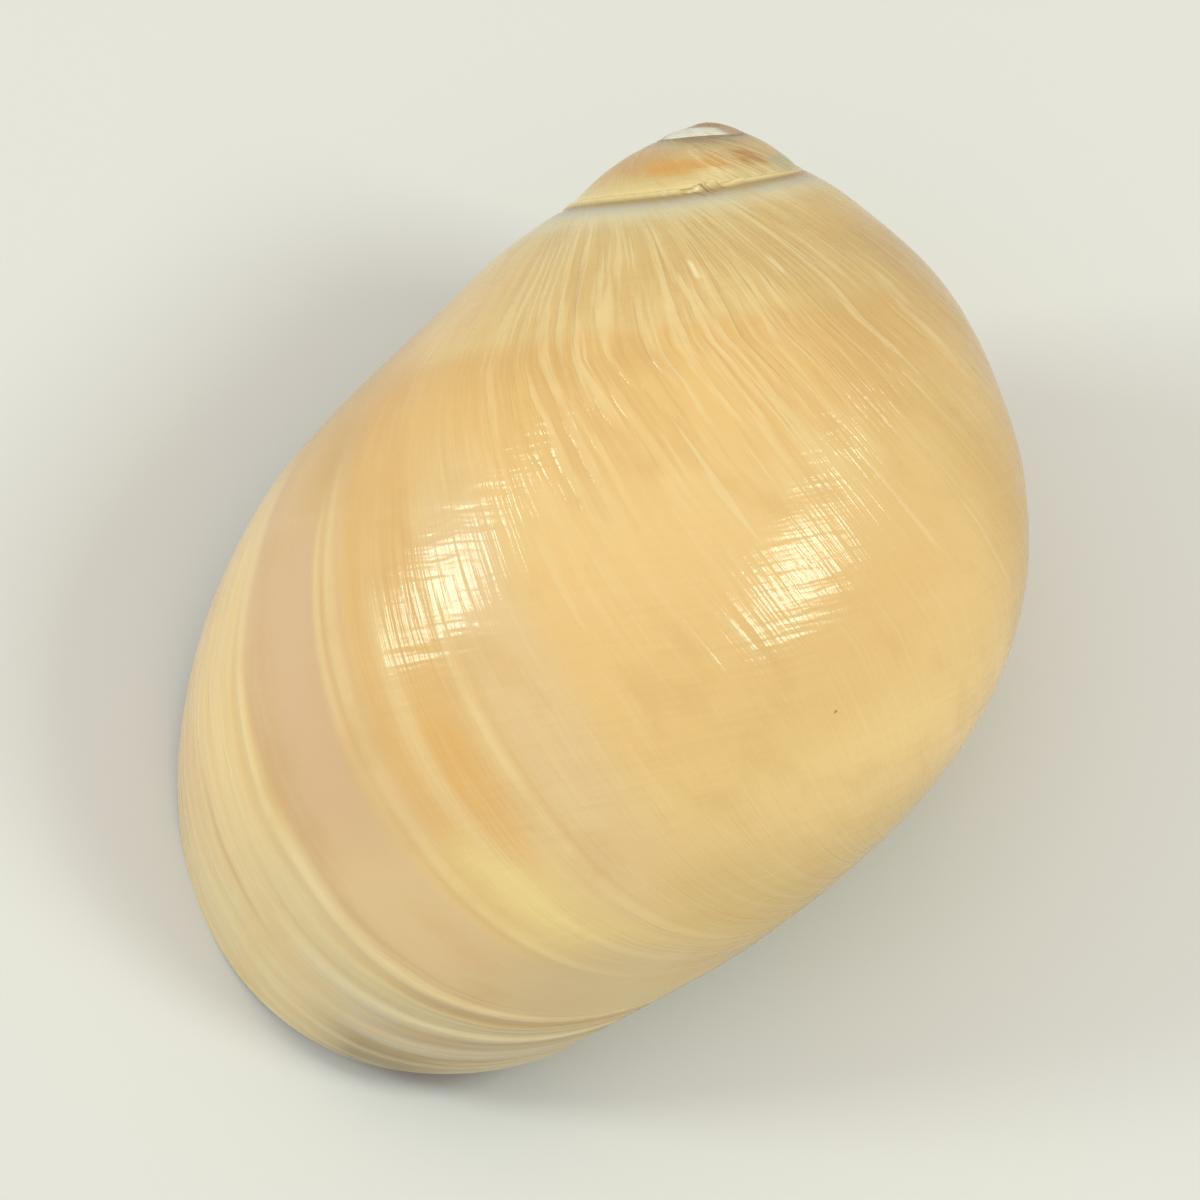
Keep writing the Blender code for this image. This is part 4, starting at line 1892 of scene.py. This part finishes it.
        # Stray ridges go cream: partly paler colour, partly a painted highlight.
        colour = nodes.mix(nodes.times(marks.strays, self.stray_tint_and_highlight), colour, self.cream)
        streaks = nodes.times(
            nodes.pattern(*where, self.fine_streaks),
            self.fine_streak_depth,
            nodes.rise(place.line, *self.smooth_lip),
            away,
        )
        colour = nodes.mix(streaks, colour, self.cream)
        spirals = nodes.times(nodes.pattern(*where, self.spiral_bands), self.spiral_band_depth)
        colour = nodes.mix(spirals, colour, self.cream)
        clouds = nodes.times(nodes.pattern(*where, self.clouds), self.cloud_depth)
        return nodes.mix(clouds, colour, self.tan)


@dataclass(frozen=True)
class PorcelainGlaze(Glaze):
    """The smooth glaze of the lip, the inner lip and the hollow."""

    line_depth: float = 0.000008
    depth_colours: tuple[tuple[float, Colour], ...] = (
        (0.00, (238, 226, 202)),
        (0.10, (234, 216, 184)),
        (0.50, (222, 192, 146)),
        (1.60, (210, 170, 118)),
        (3.60, (186, 144, 94)),
    )
    lip_edge: Colour = (214, 192, 146)
    lip_edge_from: Span = (0.35, 0.95)
    inside_lip: Colour = (214, 180, 126)
    inside_lip_share: float = 0.75
    inside_lip_around: Span = (0.23, 0.17)
    inside_lip_depths: tuple[Span, Span] = ((0.0, 0.12), (2.2, 0.3))
    pearl: Colour = (246, 240, 226)
    pearl_share: float = 0.3
    pearl_scale: float = 220.0
    pearl_depth: float = 1.6
    shade: Colour = (214, 176, 124)
    shade_share: float = 0.22
    shade_lines: Pattern = Pattern(14.0, 2.0, 2.0, 2.9, (0.50, 0.70))
    growth_grain: float = 0.7
    spiral_grain: float = 0.3

    def dress(self) -> bpy.types.Material:
        """Make the material.

        Returns:
            The material.
        """
        material, nodes, shader = new_material("porcelain_glaze")
        place = ShellPlace.read(nodes)
        depth, around, edge = place.line, place.section, place.age
        colour = nodes.run_of_colours(depth, self.depth_colours)
        clouds = nodes.group(
            self.effects.mottle, scale=self.pearl_scale, depth=self.pearl_depth
        ).outputs["Mask"]
        colour = nodes.mix(nodes.times(clouds, self.pearl_share), colour, self.pearl)
        lines = nodes.pattern(depth, around, self.shade_lines)
        colour = nodes.mix(nodes.times(lines, self.shade_share), colour, self.shade)
        inside = nodes.times(
            nodes.within(depth, *self.inside_lip_depths),
            nodes.rise(around, *self.inside_lip_around),
            self.inside_lip_share,
        )
        colour = nodes.mix(inside, colour, self.inside_lip)
        colour = nodes.mix(nodes.rise(edge, *self.lip_edge_from), colour, self.lip_edge)
        nodes.feed(shader.inputs["Base Color"], colour)
        grain = nodes.group(
            self.effects.grain,
            age=depth,
            section=around,
            growth_lines=self.growth_grain,
            spiral_lines=self.spiral_grain,
        )
        self.surface(nodes, shader, grain.outputs["Height"], clouds)
        return material


@dataclass(frozen=True)
class Floor:
    """A plain pale floor under the shell."""

    effects: SharedEffects
    side: float = 4.0
    colour: Colour = (226, 224, 219)
    shade: Colour = (221, 219, 214)
    shade_scale: float = 9.0
    shade_depth: float = 1.0
    roughness: float = 0.85
    shine: float = 0.2

    def build(self) -> bpy.types.Object:
        """Lay the floor at the shell's lowest point.

        Returns:
            The floor's object.
        """
        low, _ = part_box("shell")
        half = self.side / 2
        ways = ((-1, -1), (1, -1), (1, 1), (-1, 1))
        mesh = bpy.data.meshes.new("floor")
        mesh.from_pydata([(x * half, y * half, low.z) for x, y in ways], [], [(0, 1, 2, 3)])
        mesh.materials.append(self.dress())
        return placed("floor", mesh)

    def dress(self) -> bpy.types.Material:
        """Make the floor's material.

        Returns:
            The material.
        """
        material, nodes, shader = new_material("pale_floor")
        clouds = nodes.group(self.effects.mottle, scale=self.shade_scale, depth=self.shade_depth)
        colour = nodes.mix(clouds.outputs["Mask"], self.colour, self.shade)
        nodes.feed(shader.inputs["Base Color"], colour)
        shader.inputs["Roughness"].default_value = self.roughness
        shader.inputs["Specular IOR Level"].default_value = self.shine
        return material


@dataclass(frozen=True)
class Lamp:
    """A soft square lamp, by its direction and distance from the shell."""

    name: str
    azimuth: float
    elevation: float
    power: float
    distance: float = 0.55
    side: float = 0.154
    colour: Light = (0.86, 0.99, 0.885)

    def light(self, middle: Vector) -> bpy.types.Object:
        """Hang the lamp, facing the shell.

        Args:
            middle: Middle of the shell.

        Returns:
            The lamp's object.
        """
        data = bpy.data.lights.new(self.name, "AREA")
        data.shape = "SQUARE"
        data.size = self.side
        data.energy = self.power
        data.color = self.colour
        lamp = placed(self.name, data)
        towards = direction(self.azimuth, self.elevation)
        lamp.location = middle + towards * self.distance
        lamp.rotation_euler = towards.to_track_quat("Z", "Y").to_euler()
        return lamp


def direction(azimuth: float, elevation: float) -> Vector:
    """Unit vector towards an azimuth and elevation.

    Args:
        azimuth: Degrees round from +X towards +Y.
        elevation: Degrees up from level.

    Returns:
        The vector.
    """
    turn = math.radians(azimuth)
    lift = math.radians(elevation)
    level = math.cos(lift)
    return Vector((level * math.cos(turn), level * math.sin(turn), math.sin(lift)))


@dataclass(frozen=True)
class Studio:
    """Lamps, even light all round, and the camera."""

    lamps: tuple[Lamp, ...] = (
        Lamp("left_lamp", 175.5, 32.6, 1.03),
        Lamp("right_lamp", -17.6, 47.3, 1.12),
    )
    low_fill: float = 0.484
    high_fill: float = 0.781
    fill_colour: Light = (1.0, 0.956, 0.943)
    camera_azimuth: float = -90.07
    camera_elevation: float = 59.88
    camera_roll: float = 0.50
    camera_distance: float = 0.6004
    lens: float = 400.0
    nearest: float = 0.01
    aim_from_middle: tuple[float, float, float] = (-0.00008, 0.00131, -0.00473)

    def light(self) -> None:
        """Hang the lamps and set the even light."""
        low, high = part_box("shell")
        middle = (low + high) / 2
        for lamp in self.lamps:
            lamp.light(middle)
        world = bpy.data.worlds.new("studio")
        world.use_nodes = True
        nodes = Nodes(world.node_tree)
        sky = world.node_tree.nodes["Background"]
        sky.inputs["Color"].default_value = (*self.fill_colour, 1.0)
        parts = nodes.add("ShaderNodeSeparateXYZ")
        nodes.feed(parts.inputs[0], nodes.add("ShaderNodeTexCoord").outputs["Generated"])
        up = nodes.math("MAXIMUM", parts.outputs["Z"], 0.0)
        strength = nodes.more(up, self.high_fill - self.low_fill, self.low_fill)
        nodes.feed(sky.inputs["Strength"], strength)
        bpy.context.scene.world = world

    def aim_camera(self) -> bpy.types.Object:
        """Set up the camera, looking down on the back of the shell.

        Returns:
            The camera's object.
        """
        low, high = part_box("shell")
        aim = (low + high) / 2 + Vector(self.aim_from_middle)
        towards = direction(self.camera_azimuth, self.camera_elevation)
        data = bpy.data.cameras.new("camera")
        data.lens = self.lens
        data.clip_start = self.nearest
        camera = placed("camera", data)
        camera.location = aim + towards * self.camera_distance
        turned = towards.to_track_quat("Z", "Y").to_matrix()
        roll = Euler((0.0, 0.0, math.radians(self.camera_roll))).to_matrix()
        camera.rotation_euler = (turned @ roll).to_euler()
        bpy.context.scene.camera = camera
        return camera


def main() -> None:
    """Build the shell, its glazes, the floor, the lamps and the camera."""
    logging.basicConfig(level=logging.INFO, format="%(name)s: %(message)s")
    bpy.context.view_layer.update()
    effects = SharedEffects.make()
    shell = MoonSnailShell().build()
    for glaze in (OutsideGlaze(effects), PorcelainGlaze(effects)):
        shell.data.materials.append(glaze.dress())
    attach(shell, "root")
    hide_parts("shell")
    LOG.info("shell: %d faces", len(shell.data.polygons))
    floor = Floor(effects)
    floor.build()
    LOG.info("floor: %.1f m wide", floor.side)
    studio = Studio()
    studio.light()
    studio.aim_camera()
    LOG.info("studio: %d lamps", len(studio.lamps))
    bpy.context.scene.view_settings.view_transform = "Standard"


if __name__ == "__main__":
    main()
